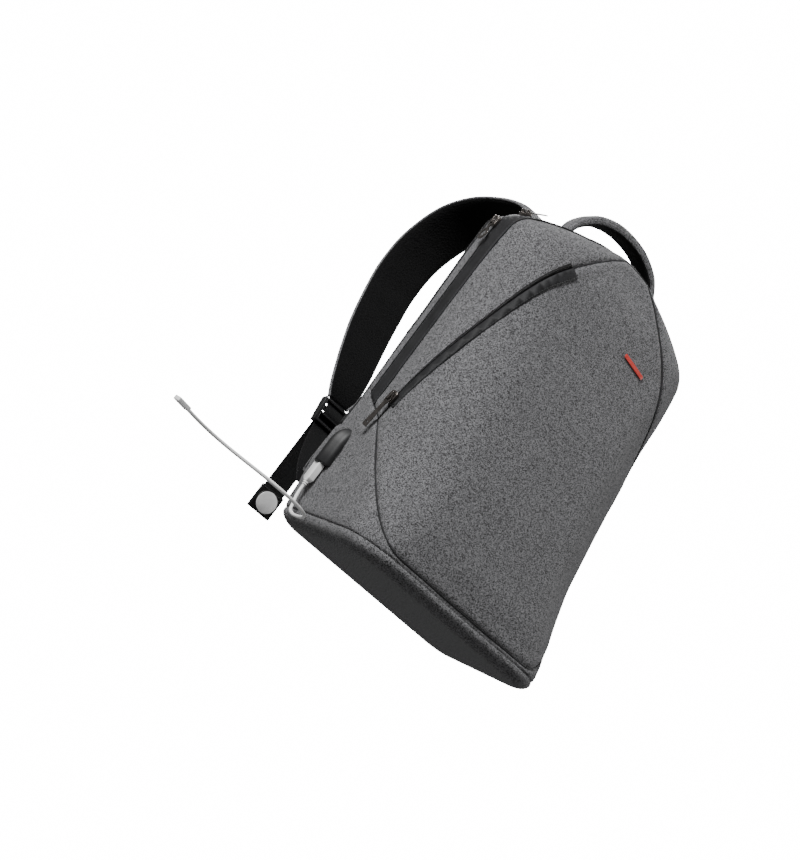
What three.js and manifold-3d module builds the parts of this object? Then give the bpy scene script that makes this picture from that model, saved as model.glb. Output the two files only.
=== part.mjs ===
// Charging backpack: an upright padded bag whose front shell folds forward, with zip sliders,
// carry handle, shoulder straps, a side socket for a charging plug and the power bank behind it.
// Millimetres, +Z up, +Y towards the wearer's back, -Y the front of the bag, origin under the base centre.
import * as THREE from "three";
import { mergeVertices } from "three/addons/utils/BufferGeometryUtils.js";
import Module from "manifold-3d";

const wasm = await Module();
wasm.setup();

// ---- driving dimensions ----
const HEIGHT = 448; // crown of the arched top
const HALF_WIDTH_BASE = 133;
const HALF_WIDTH_FLARE = 0.0275; // extra half width per millimetre of height
const FRONT_Y_BASE = -112;
const FRONT_LEAN = 0.255; // how far the front face moves back per millimetre of height
const BACK_Y = 93;
const LUMBAR_DEPTH = 13; // the padded hip bulge at the back
const LUMBAR_Z = 88;
const LUMBAR_REACH = 66;
const SHOULDER_Z = 384; // where the side turns into the top
const SHOULDER_RADIUS = 26;
const SHOULDER_TURN = THREE.MathUtils.degToRad(54);
const BASE_RADIUS = 16;
const CROWN_RADIUS = 12;
const FRONT_BULGE = 7;
const SIDE_BULGE = 3;
const WALL = 3.5; // padded fabric
const GAP = 0.36; // between neighbouring panels
const TRIM_LIFT = 0.35;
const TRIM_THICKNESS = 1.2;

// seams, as points (y, z) of the side view
const ZIP_FOOT = [59, 157];
const ZIP_TOP = [47, 395];
const SEAM_KNEE = [14, 134];
const SEAM_TOE = [-112, 15];
const BACK_SEAM_FOOT = [79, 150];
const BACK_SEAM_TOP = [74, 400];
const BACK_STRIP_WIDTH = 12;
const BACK_STRIP_FOOT_Z = 118;
const BASE_SEAM_Z = 14;
const TOP_SEAM_INSET = 4;
const TOP_SEAM_FLOOR_Z = 405;
const FOLD_DEPTH = 62; // height of the band that creases when the front shell opens

// the slanting front seam with the pocket zip lies in one plane
const POCKET_SEAM_POINT = new THREE.Vector3(-137, 12, 134);
const POCKET_SEAM_NORMAL = new THREE.Vector3(-0.554, 0.8, 0.23).normalize();

// ---- colours ----
const paint = (color, roughness, metalness = 0) =>
  new THREE.MeshStandardMaterial({ color, roughness, metalness });
const heather = paint(0x5c5d60, 0.95);
const darkGrey = paint(0x38393c, 0.85);
const meshBlack = paint(0x141416, 0.95);
const webbing = paint(0x18181a, 0.9);
const lining = paint(0x2b2c30, 0.9);
const rubber = paint(0x17181a, 0.55);
const plastic = paint(0x101012, 0.5);
const gunmetal = paint(0x4a4540, 0.3, 0.9);
const whitePlastic = paint(0xf2f2f0, 0.4);
const reflector = paint(0xdddddd, 0.35);
const red = paint(0xc0392b, 0.6);
const steel = paint(0xb8b8bc, 0.3, 1);
const bankShell = paint(0x1d1e22, 0.4);

const group = new THREE.Group();

// ---- small helpers ----
const clamp01 = (v) => Math.min(1, Math.max(0, v));
const smooth = (v) => {
  const t = clamp01(v);
  return t * t * (3 - 2 * t);
};

function solidOf(geometry) {
  const bare = geometry.clone();
  for (const name of ["normal", "uv"]) bare.deleteAttribute(name);
  const merged = mergeVertices(bare, 1e-4);
  const vertProperties = new Float32Array(merged.attributes.position.array);
  const triVerts = new Uint32Array(merged.index.array);
  return new wasm.Manifold(new wasm.Mesh({ numProp: 3, vertProperties, triVerts }));
}

function geometryOf(solid) {
  const mesh = solid.getMesh();
  const geometry = new THREE.BufferGeometry();
  geometry.setAttribute("position", new THREE.BufferAttribute(new Float32Array(mesh.vertProperties), 3));
  geometry.setIndex(new THREE.BufferAttribute(new Uint32Array(mesh.triVerts), 1));
  geometry.computeVertexNormals();
  return geometry;
}

function put(name, geometry, material) {
  const mesh = new THREE.Mesh(geometry, material);
  mesh.name = name;
  group.add(mesh);
  return mesh;
}

const putSolid = (name, solid, material) => put(name, geometryOf(solid), material);

// closed mesh from rings of points; the first and last rings are capped
function loft(rings, closed = false) {
  const size = rings[0].length;
  const positions = rings.flat().flatMap((p) => [p.x, p.y, p.z]);
  const index = [];
  const ringPairs = closed ? rings.length : rings.length - 1;
  for (let i = 0; i < ringPairs; i++) {
    const below = i * size;
    const above = ((i + 1) % rings.length) * size;
    for (let j = 0; j < size; j++) {
      const k = (j + 1) % size;
      index.push(below + j, below + k, above + k, below + j, above + k, above + j);
    }
  }
  if (!closed) {
    const top = (rings.length - 1) * size;
    for (let j = 1; j < size - 1; j++) {
      index.push(0, j + 1, j);
      index.push(top, top + j, top + j + 1);
    }
  }
  const geometry = new THREE.BufferGeometry();
  geometry.setAttribute("position", new THREE.Float32BufferAttribute(positions, 3));
  geometry.setIndex(signedVolume(positions, index) < 0 ? index.reverse() : index);
  return geometry;
}

function signedVolume(positions, index) {
  const corner = (i) => new THREE.Vector3().fromArray(positions, 3 * index[i]);
  let total = 0;
  for (let i = 0; i < index.length; i += 3) {
    total += corner(i).dot(corner(i + 1).cross(corner(i + 2))) / 6;
  }
  return total;
}

// a big block on the side of a plane that its normal points to
function beyond(point, normal, shift = 0) {
  const REACH = 1200;
  const block = new THREE.BoxGeometry(REACH, REACH, REACH);
  const turn = new THREE.Quaternion().setFromUnitVectors(new THREE.Vector3(0, 0, 1), normal);
  block.applyQuaternion(turn);
  const centre = point.clone().addScaledVector(normal, REACH / 2 + shift);
  block.translate(centre.x, centre.y, centre.z);
  return solidOf(block);
}

// plane through two side-view points; its normal points to the left of the way from a to b
function sidePlane(a, b) {
  const dy = b[0] - a[0];
  const dz = b[1] - a[1];
  return {
    point: new THREE.Vector3(0, a[0], a[1]),
    normal: new THREE.Vector3(0, -dz, dy).normalize(),
  };
}

const past = (plane, shift) => beyond(plane.point, plane.normal, shift);
const before = (plane, shift) => beyond(plane.point, plane.normal.clone().negate(), -shift);

// ---- the bag's outer surface: horizontal sections with round corners ----
const SHOULDER_HALF_WIDTH = HALF_WIDTH_BASE + HALF_WIDTH_FLARE * SHOULDER_Z;
const SHOULDER_CENTRE_X = SHOULDER_HALF_WIDTH - SHOULDER_RADIUS;
const ARCH_X = SHOULDER_CENTRE_X + SHOULDER_RADIUS * Math.cos(SHOULDER_TURN);
const ARCH_Z = SHOULDER_Z + SHOULDER_RADIUS * Math.sin(SHOULDER_TURN);
const ARCH_RISE = HEIGHT - ARCH_Z;
const ARCH_RADIUS = (ARCH_X * ARCH_X + ARCH_RISE * ARCH_RISE) / (2 * ARCH_RISE);
const ARCH_CENTRE_Z = HEIGHT - ARCH_RADIUS;

function halfWidth(z) {
  if (z <= SHOULDER_Z) return HALF_WIDTH_BASE + HALF_WIDTH_FLARE * z;
  if (z <= ARCH_Z) return SHOULDER_CENTRE_X + Math.sqrt(SHOULDER_RADIUS ** 2 - (z - SHOULDER_Z) ** 2);
  return Math.sqrt(Math.max(ARCH_RADIUS ** 2 - (z - ARCH_CENTRE_Z) ** 2, 0));
}

const lumbar = (z) => {
  const t = Math.abs(z - LUMBAR_Z) / LUMBAR_REACH;
  return t >= 1 ? 0 : LUMBAR_DEPTH * Math.cos((t * Math.PI) / 2) ** 2;
};

function rounding(z) {
  const low = Math.max(0, BASE_RADIUS - z);
  const high = Math.max(0, z - (HEIGHT - CROWN_RADIUS));
  const foot = BASE_RADIUS - Math.sqrt(Math.max(BASE_RADIUS ** 2 - low ** 2, 0));
  const crown = CROWN_RADIUS - Math.sqrt(Math.max(CROWN_RADIUS ** 2 - high ** 2, 0));
  return { foot, crown };
}

const frontRadius = (z) => 42 + 32 * smooth(z / 130) - 16 * smooth((z - 260) / 110);
const BACK_RADIUS = 20;

// one section: points counter-clockwise seen from above, moved inwards by inset
function section(z, inset, zPlaced) {
  const { foot, crown } = rounding(z);
  const a = Math.max(halfWidth(z) - foot - inset, 2);
  const front = FRONT_Y_BASE + FRONT_LEAN * z + foot + crown + inset;
  const back = BACK_Y + lumbar(z) - foot - crown - inset;
  const middle = (front + back) / 2;
  const rf = Math.min(frontRadius(z) - inset - foot * 0.5, a * 0.8);
  const rb = Math.min(BACK_RADIUS - inset, a * 0.15 + 3);
  const half = [];
  const line = (x0, y0, x1, y1, steps) => {
    for (let i = 0; i < steps; i++) half.push([x0 + ((x1 - x0) * i) / steps, y0 + ((y1 - y0) * i) / steps]);
  };
  const arc = (cx, cy, r, from, steps) => {
    for (let i = 0; i < steps; i++) {
      const angle = from + ((Math.PI / 2) * i) / steps;
      half.push([cx + r * Math.cos(angle), cy + r * Math.sin(angle)]);
    }
  };
  line(0, front, a - rf, front, 3);
  arc(a - rf, front + rf, rf, -Math.PI / 2, 6);
  line(a, front + rf, a, back - rb, 3);
  arc(a - rb, back - rb, rb, 0, 3);
  line(a - rb, back, 0, back, 2);
  half.push([0, back]);
  const fullness = smooth(z / 60) * smooth((HEIGHT - z) / 70);
  const shaped = half.map(([x, y]) => {
    const across = 1 - (x / a) ** 2;
    const along = 1 - ((y - middle) / ((back - front) / 2)) ** 2;
    const frontShare = y < middle ? (middle - y) / (middle - front) : 0;
    return [
      x + SIDE_BULGE * fullness * along * (x / a) ** 2,
      y - FRONT_BULGE * fullness * across * frontShare,
    ];
  });
  const mirrored = shaped.slice(1, -1).reverse().map(([x, y]) => [-x, y]);
  return [...shaped, ...mirrored].map(([x, y]) => new THREE.Vector3(x, y, zPlaced));
}

const SECTION_HEIGHTS = [
  0, 1.5, 5, 10, 16, 38, 62, 88, 114, 140, 170, 205, 245, 285, 325, 358, 384,
  391, 398, ARCH_Z, 414, 423, 431, 437, 442, 445.5, 447.4,
];

function bodySolid(inset) {
  const lowest = inset;
  const scale = (HEIGHT - 2 * inset) / HEIGHT;
  return solidOf(loft(SECTION_HEIGHTS.map((z) => section(z, inset, lowest + z * scale))));
}

const outer = bodySolid(0);
const shell = outer.subtract(bodySolid(WALL));
const trimSkin = bodySolid(-TRIM_LIFT - TRIM_THICKNESS).subtract(bodySolid(-TRIM_LIFT));

// ---- seam planes ----
const half = GAP / 2;
const zipPlane = sidePlane(ZIP_FOOT, ZIP_TOP); // normal towards the front
const backPlane = sidePlane(BACK_SEAM_FOOT, BACK_SEAM_TOP);
const sideSeam = sidePlane(SEAM_KNEE, ZIP_FOOT); // normal up
const toeSeam = sidePlane(SEAM_TOE, SEAM_KNEE);
const foldStart = sidePlane(SEAM_TOE, ZIP_FOOT);
const topSeam = {
  point: new THREE.Vector3(0, FRONT_Y_BASE + TOP_SEAM_INSET, 0),
  normal: new THREE.Vector3(0, 1, -FRONT_LEAN).normalize(),
};
const pocketSeamLeft = { point: POCKET_SEAM_POINT, normal: POCKET_SEAM_NORMAL };
const pocketSeamRight = {
  point: new THREE.Vector3(-POCKET_SEAM_POINT.x, POCKET_SEAM_POINT.y, POCKET_SEAM_POINT.z),
  normal: new THREE.Vector3(-POCKET_SEAM_NORMAL.x, POCKET_SEAM_NORMAL.y, POCKET_SEAM_NORMAL.z),
};
const up = new THREE.Vector3(0, 0, 1);
const level = (z) => ({ point: new THREE.Vector3(0, 0, z), normal: up });

const belowSeam = (shift) => before(sideSeam, shift).intersect(before(toeSeam, shift));
const aboveSeam = (solid) => solid.subtract(belowSeam(half));

// ---- fabric panels ----
function makePanels() {
  const base = shell.intersect(before(level(BASE_SEAM_Z), -half));
  const walls = shell.intersect(past(level(BASE_SEAM_Z), half));
  const rear = walls.intersect(before(backPlane, -BACK_STRIP_WIDTH - half));
  const middle = walls.intersect(past(backPlane, -BACK_STRIP_WIDTH + half));
  const stripZone = middle.intersect(before(backPlane, -half));
  const strip = stripZone.intersect(past(level(BACK_STRIP_FOOT_Z), half));
  const forward = middle.subtract(before(backPlane, half).intersect(past(level(BACK_STRIP_FOOT_Z), -half)));
  const lower = forward.intersect(belowSeam(-half));
  const upper = forward.subtract(belowSeam(half));
  const band = upper.intersect(before(zipPlane, -half)).intersect(past(backPlane, half));
  const frontShell = upper.intersect(past(zipPlane, half));
  const fold = frontShell.intersect(before(foldStart, FOLD_DEPTH - half));
  const stiff = frontShell.intersect(past(foldStart, FOLD_DEPTH + half));
  const gussetZone = (shift) =>
    past(pocketSeamLeft, shift)
      .add(past(pocketSeamRight, shift))
      .add(past(topSeam, shift).intersect(past(level(TOP_SEAM_FLOOR_Z), 0)));
  const gusset = stiff.intersect(gussetZone(half));
  const front = stiff.subtract(gussetZone(-half));
  return { base, rear, strip, lower, band, fold, gusset, front };
}

const panels = makePanels();
putSolid("base_panel", panels.base, heather);
putSolid("back_panel", panels.rear, heather);
putSolid("back_edge_strip", panels.strip, darkGrey);
putSolid("back_band", panels.band, heather);
putSolid("fold_band", panels.fold, heather);
putSolid("gusset", panels.gusset, heather);
putSolid("front_panel", panels.front, heather);

// ---- trims along the seams ----
const GUARD_WIDTH = 23;
const CHAIN_WIDTH = 5;
const POCKET_GUARD_WIDTH = 9;
const POCKET_CHAIN_WIDTH = 3.5;
const POCKET_ZIP_FOOT_Z = 148;
const POCKET_ZIP_TOP_Z = 384;

function makeTrims() {
  const aboveSide = trimSkin.intersect(past(sideSeam, 1));
  const guard = aboveSide.intersect(past(zipPlane, half)).intersect(before(zipPlane, GUARD_WIDTH));
  const chain = aboveSide.intersect(before(zipPlane, -half)).intersect(past(zipPlane, -CHAIN_WIDTH));
  const leftSide = beyond(new THREE.Vector3(-20, 0, 0), new THREE.Vector3(-1, 0, 0));
  const pocketRun = trimSkin
    .intersect(leftSide)
    .intersect(past(level(POCKET_ZIP_FOOT_Z), 0))
    .intersect(before(level(POCKET_ZIP_TOP_Z), 0))
    .intersect(past(zipPlane, GUARD_WIDTH + 1));
  const pocketGuard = pocketRun
    .intersect(before(pocketSeamLeft, -half))
    .intersect(past(pocketSeamLeft, -POCKET_GUARD_WIDTH));
  const pocketChain = pocketRun
    .intersect(past(pocketSeamLeft, half))
    .intersect(before(pocketSeamLeft, POCKET_CHAIN_WIDTH));
  return { guard, chain, pocketGuard, pocketChain };
}

const trims = makeTrims();
putSolid("main_zip_guard", trims.guard, darkGrey);
putSolid("main_zip_chain", trims.chain, webbing);
putSolid("pocket_zip_guard", trims.pocketGuard, darkGrey);
putSolid("pocket_zip_chain", trims.pocketChain, webbing);

// a plate cut out of an offset skin of the bag by a prism along y
function skinPatch(low, high, outline, y0, y1) {
  const skin = bodySolid(-high).subtract(bodySolid(-low));
  const prism = new THREE.ExtrudeGeometry(outline, { depth: y1 - y0, bevelEnabled: false });
  prism.rotateX(Math.PI / 2);
  prism.translate(0, y1, 0);
  return skin.intersect(solidOf(prism));
}

// rounded rectangle in (x, z), given by its centre
function roundedRect(cx, cz, width, height, r, tilt = 0) {
  const shape = new THREE.Shape();
  const corners = [
    [width / 2 - r, -height / 2 + r, -Math.PI / 2],
    [width / 2 - r, height / 2 - r, 0],
    [-width / 2 + r, height / 2 - r, Math.PI / 2],
    [-width / 2 + r, -height / 2 + r, Math.PI],
  ];
  const STEPS = 3;
  const points = corners.flatMap(([x, y, from]) =>
    Array.from({ length: STEPS + 1 }, (_, i) => {
      const angle = from + ((Math.PI / 2) * i) / STEPS;
      return new THREE.Vector2(x + r * Math.cos(angle), y + r * Math.sin(angle));
    }),
  );
  const centre = new THREE.Vector2();
  shape.setFromPoints(points.map((p) => p.rotateAround(centre, tilt).add(new THREE.Vector2(cx, cz))));
  return shape;
}

// ---- label and back pads ----
const LABEL = { x: 45, z: 352, width: 34, height: 5, tilt: THREE.MathUtils.degToRad(-9) };
const labelOutline = roundedRect(LABEL.x, LABEL.z, LABEL.width, LABEL.height, 1.2, LABEL.tilt);
putSolid("label_bar", skinPatch(TRIM_LIFT, TRIM_LIFT + 0.9, labelOutline, -140, 20), red);

const PAD_THICKNESS = 9;
const PAD = { x: 57, z: 283, width: 94, height: 232, r: 26 };
const LUMBAR_PAD = { z: 92, width: 214, height: 92, r: 30 };
for (const [name, sign] of [["back_pad_left", -1], ["back_pad_right", 1]]) {
  const outline = roundedRect(sign * PAD.x, PAD.z, PAD.width, PAD.height, PAD.r);
  putSolid(name, skinPatch(TRIM_LIFT, PAD_THICKNESS, outline, 60, 140), meshBlack);
}
const lumbarOutline = roundedRect(0, LUMBAR_PAD.z, LUMBAR_PAD.width, LUMBAR_PAD.height, LUMBAR_PAD.r);
putSolid("lumbar_pad", skinPatch(TRIM_LIFT, PAD_THICKNESS, lumbarOutline, 60, 150), meshBlack);

// ---- inside ----
const box = (x0, x1, y0, y1, z0, z1) => {
  const geometry = new THREE.BoxGeometry(x1 - x0, y1 - y0, z1 - z0);
  geometry.translate((x0 + x1) / 2, (y0 + y1) / 2, (z0 + z1) / 2);
  return geometry;
};
const inside = bodySolid(WALL + 0.5);
const FLOOR_Z = WALL + 0.5;

const DIVIDER = { y: 62, thickness: 4, halfWidth: 118, top: 304 };
const dividerOutline = roundedRect(
  0, (FLOOR_Z + DIVIDER.top) / 2, 2 * DIVIDER.halfWidth, DIVIDER.top - FLOOR_Z, 14,
);
const divider = new THREE.ExtrudeGeometry(dividerOutline, { depth: DIVIDER.thickness, bevelEnabled: false });
divider.rotateX(Math.PI / 2);
divider.translate(0, DIVIDER.y + DIVIDER.thickness, 0);
put("laptop_divider", divider, lining);

const POCKET_DEPTH = 30;
const LINING_THICKNESS = 1.5;
const facePlane = {
  point: new THREE.Vector3(0, FRONT_Y_BASE + WALL, 0),
  normal: topSeam.normal,
};
const liningSheet = past(facePlane, POCKET_DEPTH).intersect(before(facePlane, POCKET_DEPTH + LINING_THICKNESS));
const liningFloor = past(foldStart, FOLD_DEPTH + 1)
  .intersect(before(foldStart, FOLD_DEPTH + 1 + LINING_THICKNESS))
  .intersect(before(facePlane, POCKET_DEPTH + LINING_THICKNESS));
const pocketBag = liningSheet.intersect(past(foldStart, FOLD_DEPTH + 1)).add(liningFloor);
const flapInside = inside.intersect(past(zipPlane, 4));
putSolid("pocket_lining", pocketBag.intersect(flapInside), lining);

// power bank in an open-topped pocket on the divider
const BANK = { x0: -108, x1: -42, y0: 44, y1: 59, z0: 12, z1: 116 };
const POCKET_WALL = 1.6;
const CLEAR = 0.5;
const pocketOuter = solidOf(box(
  BANK.x0 - CLEAR - POCKET_WALL, BANK.x1 + CLEAR + POCKET_WALL,
  BANK.y0 - CLEAR - POCKET_WALL, DIVIDER.y - 0.3,
  BANK.z0 - CLEAR - POCKET_WALL, 92,
));
const pocketInner = solidOf(box(
  BANK.x0 - CLEAR, BANK.x1 + CLEAR, BANK.y0 - CLEAR, DIVIDER.y + 5, BANK.z0 - CLEAR, 200,
));
putSolid("power_bank_pocket", pocketOuter.subtract(pocketInner), meshBlack);
const bankOutline = roundedRect(
  (BANK.x0 + BANK.x1) / 2, (BANK.z0 + BANK.z1) / 2, BANK.x1 - BANK.x0, BANK.z1 - BANK.z0, 6,
);
const bank = new THREE.ExtrudeGeometry(bankOutline, { depth: BANK.y1 - BANK.y0, bevelEnabled: false });
bank.rotateX(Math.PI / 2);
bank.translate(0, BANK.y1, 0);
put("power_bank", bank, bankShell);

// ---- side socket, its plug and the leads ----
const POD = { y: 50, z0: 66, z1: 113, halfWidth: 13, height: 14 };
const podWallX = -(halfWidth(90) + SIDE_BULGE * 0.6);
const podProfile = [[-3, -13], [6, -12.5], [12, -5], [14, -2.5], [12.5, 2], [7, 12.5], [-3, 13]];
const podRing = (z, grow, shift) =>
  podProfile.map(([out, y]) => new THREE.Vector3(
    podWallX - Math.max(out * grow - shift, -3), POD.y + y * grow, z,
  ));
const podBody = solidOf(loft([
  podRing(POD.z0, 1, 0), podRing(94, 1, 0), podRing(105, 0.86, 1.5), podRing(POD.z1, 0.5, 4),
]));
const SOCKET = { width: 13, height: 6, depth: 14 };
const socketX = podWallX - 5.5;
const socketCut = solidOf(box(
  socketX - SOCKET.height / 2, socketX + SOCKET.height / 2,
  POD.y - SOCKET.width / 2, POD.y + SOCKET.width / 2,
  POD.z0 - 5, POD.z0 + SOCKET.depth,
));
const BOSS = { z: 96, radius: 4, reach: 9 };
const peg = (radius, x0, x1) => {
  const geometry = new THREE.CylinderGeometry(radius, radius, x1 - x0, 16);
  geometry.rotateZ(Math.PI / 2);
  geometry.translate((x0 + x1) / 2, POD.y, BOSS.z);
  return solidOf(geometry);
};
const boss = peg(BOSS.radius, podWallX - 4, podWallX + BOSS.reach);
const bossHole = peg(BOSS.radius + 0.35, podWallX - 20, podWallX + 20);
const pod = podBody.subtract(bodySolid(-0.3)).subtract(socketCut).add(boss);
putSolid("usb_pod", pod, rubber);
putSolid("lower_body", panels.lower.subtract(bossHole), heather);

const PLUG = { width: 12.5, height: 7.5, z0: 42, z1: POD.z0 - 0.6 };
const plugRing = (z, grow) => [
  [-1, -1], [1, -1], [1, 1], [-1, 1],
].map(([sx, sy]) => new THREE.Vector3(
  socketX + (sx * PLUG.height * grow) / 2, POD.y + (sy * PLUG.width * grow) / 2, z,
));
put("usb_plug", loft([plugRing(PLUG.z0, 0.55), plugRing(PLUG.z0 + 4, 1), plugRing(PLUG.z1, 1)]), whitePlastic);
const TIP = { width: 12, height: 4.5, length: 11 };
put("usb_plug_tip", box(
  socketX - TIP.height / 2, socketX + TIP.height / 2,
  POD.y - TIP.width / 2, POD.y + TIP.width / 2,
  PLUG.z1 + 0.3, PLUG.z1 + TIP.length,
), steel);

// tube along a smooth curve
function tube(points, radius, sides, steps) {
  const curve = new THREE.CatmullRomCurve3(points.map((p) => new THREE.Vector3(...p)));
  const outline = new THREE.Shape();
  const corners = Array.from({ length: sides }, (_, i) => {
    const angle = (2 * Math.PI * i) / sides;
    return new THREE.Vector2(radius * Math.cos(angle), radius * Math.sin(angle));
  });
  outline.setFromPoints(corners);
  return new THREE.ExtrudeGeometry(outline, { steps, bevelEnabled: false, extrudePath: curve });
}

const CORD_RADIUS = 1.8;
const CORD_ROUTE = [
  [socketX, 50, 41.4], [socketX - 0.3, 49.5, 33], [socketX - 1, 46, 23.5], [socketX - 2, 39, 14.5],
  [-148, 29, 7.5], [-149.5, 17, 3.6], [-151, 4, 2.2], [-153, -12, 2.1], [-158, -28, 2.1],
  [-168, -43, 2.1], [-183, -54, 2.1], [-202, -60, 2.1], [-224, -60, 2.1], [-246, -55, 2.1],
  [-268, -50, 2.1], [-290, -50, 2.1], [-311, -56, 2.1], [-330, -66, 2.1],
];
put("usb_cable", tube(CORD_ROUTE, CORD_RADIUS, 8, 64), whitePlastic);

const PHONE_PLUG = { width: 7.5, height: 4.6, length: 20 };
const phonePlug = new THREE.Group();
const phonePlugBody = new THREE.Mesh(
  new THREE.BoxGeometry(PHONE_PLUG.length, PHONE_PLUG.width, PHONE_PLUG.height), whitePlastic,
);
phonePlugBody.name = "phone_plug";
phonePlugBody.position.x = -PHONE_PLUG.length / 2 - 0.35;
phonePlug.add(phonePlugBody);
phonePlug.position.set(-330, -66, PHONE_PLUG.height / 2 + 0.1);
phonePlug.rotation.z = Math.atan2(10, 19);
group.add(phonePlug);

const LEAD_RADIUS = 1.5;
const leadPlug = { x: -74, y: 51.5, z0: BANK.z1 + 0.4, z1: BANK.z1 + 20 };
put("lead_plug", box(
  leadPlug.x - 6, leadPlug.x + 6, leadPlug.y - 3.6, leadPlug.y + 3.6, leadPlug.z0, leadPlug.z1,
), plastic);
const leadEndX = podWallX + BOSS.reach + 0.9;
const LEAD_ROUTE = [
  [leadPlug.x, leadPlug.y, leadPlug.z1 + 0.4], [leadPlug.x - 0.5, leadPlug.y, leadPlug.z1 + 9],
  [leadPlug.x - 6, leadPlug.y, leadPlug.z1 + 17], [leadPlug.x - 16, leadPlug.y, leadPlug.z1 + 20],
  [leadPlug.x - 28, leadPlug.y, leadPlug.z1 + 14], [-112, 51, leadPlug.z1],
  [-117, 50.5, 121], [-119, POD.y, 109], [-122.5, POD.y, 99.5], [leadEndX, POD.y, BOSS.z],
];
put("power_lead", tube(LEAD_ROUTE, LEAD_RADIUS, 8, 34), plastic);

// ---- soft straps: a flat section swept along a path ----
// each stop is { at: [x, y, z], width, thick }; the width stays close to the wide direction
function strap(stops, steps, wide = new THREE.Vector3(1, 0, 0)) {
  const curve = new THREE.CatmullRomCurve3(stops.map((s) => new THREE.Vector3(...s.at)));
  const rings = [];
  for (let i = 0; i <= steps; i++) {
    const u = i / steps;
    const along = u * (stops.length - 1);
    const k = Math.min(Math.floor(along), stops.length - 2);
    const f = along - k;
    const width = stops[k].width * (1 - f) + stops[k + 1].width * f;
    const thick = stops[k].thick * (1 - f) + stops[k + 1].thick * f;
    const centre = curve.getPoint(u);
    const tangent = curve.getTangent(u);
    const across = wide.clone().addScaledVector(tangent, -wide.dot(tangent)).normalize();
    const out = new THREE.Vector3().crossVectors(across, tangent).normalize();
    const w = width / 2;
    const h = thick / 2;
    const c = Math.min(h * 0.7, w * 0.3);
    const profile = [
      [-w + c, -h], [w - c, -h], [w, -h + c], [w, h - c], [w - c, h], [-w + c, h], [-w, h - c], [-w, -h + c],
    ];
    rings.push(profile.map(([a, b]) =>
      centre.clone().addScaledVector(across, a).addScaledVector(out, b)));
  }
  return loft(rings);
}

const mirror = (sign, at) => [sign * at[0], at[1], at[2]];
const stopsFor = (sign, stops) => stops.map((s) => ({ ...s, at: mirror(sign, s.at) }));

const SHOULDER_STOPS = [
  { at: [46, 103.5, 414], width: 66, thick: 7 }, { at: [49, 124, 446], width: 66, thick: 10 },
  { at: [54, 162, 467], width: 66, thick: 12 }, { at: [61, 211, 472], width: 66, thick: 13 },
  { at: [72, 254, 461], width: 66, thick: 13 }, { at: [83, 284, 434], width: 65, thick: 13 },
  { at: [93, 295, 388], width: 64, thick: 13 }, { at: [100, 284, 338], width: 63, thick: 13 },
  { at: [104, 262, 292], width: 61, thick: 12 }, { at: [107, 237, 248], width: 58, thick: 12 },
  { at: [108, 211, 206], width: 52, thick: 11 }, { at: [108, 192, 172], width: 42, thick: 8 },
  { at: [107.5, 185.5, 154.5], width: 30, thick: 3 },
];
const LADDER = { x: 107, y: 180, z: 136, width: 38, height: 32, depth: 9, bar: 4 };
const ANCHOR_STOPS = [
  { at: [109.5, 174, 117], width: 25, thick: 1.8 }, { at: [112, 158, 93], width: 25, thick: 1.8 },
  { at: [115, 132, 66], width: 25, thick: 1.8 }, { at: [117, 108, 50], width: 25, thick: 1.8 },
];
const TAIL = { x: 106, y: 184, z0: 30, z1: 123, width: 28, thick: 1.8 };
const END_TAB = { z0: 4, z1: 33, width: 30, thick: 6 };
const DISC = { radius: 12.5, thick: 1.6, z: 18 };
const RIGHT_TAIL_LIFT = 32; // the right strap is drawn in less, so its tail hangs shorter

function ladderLock(sign) {
  const { x, y, z, width, height, depth, bar } = LADDER;
  const plate = solidOf(box(-width / 2, width / 2, -depth / 2, depth / 2, -height / 2, height / 2));
  const slotWidth = width - 2 * bar;
  const slots = [[-9.2, 7], [0, 5.4], [9.2, 7]].map(([at, tall]) =>
    solidOf(box(-slotWidth / 2, slotWidth / 2, -depth, depth, at - tall / 2, at + tall / 2)));
  const geometry = geometryOf(slots.reduce((rest, slot) => rest.subtract(slot), plate));
  geometry.rotateX(THREE.MathUtils.degToRad(-18));
  geometry.translate(sign * x, y, z);
  return geometry;
}

for (const [side, sign] of [["left", -1], ["right", 1]]) {
  put(`shoulder_strap_${side}`, strap(stopsFor(sign, SHOULDER_STOPS), 32), meshBlack);
  put(`ladder_lock_${side}`, ladderLock(sign), plastic);
  put(`anchor_webbing_${side}`, strap(stopsFor(sign, ANCHOR_STOPS), 8), webbing);
  const tailX = sign * TAIL.x;
  const lift = side === "right" ? RIGHT_TAIL_LIFT : 0;
  put(`strap_tail_${side}`, box(
    tailX - TAIL.width / 2, tailX + TAIL.width / 2,
    TAIL.y - TAIL.thick / 2, TAIL.y + TAIL.thick / 2, TAIL.z0 + lift + 2, TAIL.z1,
  ), webbing);
  const tab = solidOf(box(
    tailX - END_TAB.width / 2, tailX + END_TAB.width / 2,
    TAIL.y - END_TAB.thick / 2, TAIL.y + END_TAB.thick / 2, END_TAB.z0 + lift, END_TAB.z1 + lift,
  ));
  const tailClear = solidOf(box(
    tailX - TAIL.width / 2 - 0.3, tailX + TAIL.width / 2 + 0.3,
    TAIL.y - TAIL.thick / 2 - 0.3, TAIL.y + TAIL.thick / 2 + 0.3, TAIL.z0 + lift + 1.7, TAIL.z1,
  ));
  putSolid(`tail_tab_${side}`, tab.subtract(tailClear), webbing);
  const disc = new THREE.CylinderGeometry(DISC.radius, DISC.radius, DISC.thick, 32);
  disc.translate(tailX, TAIL.y - END_TAB.thick / 2 - DISC.thick / 2 - 0.35, DISC.z + lift);
  put(`tail_disc_${side}`, disc, reflector);
}

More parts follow.
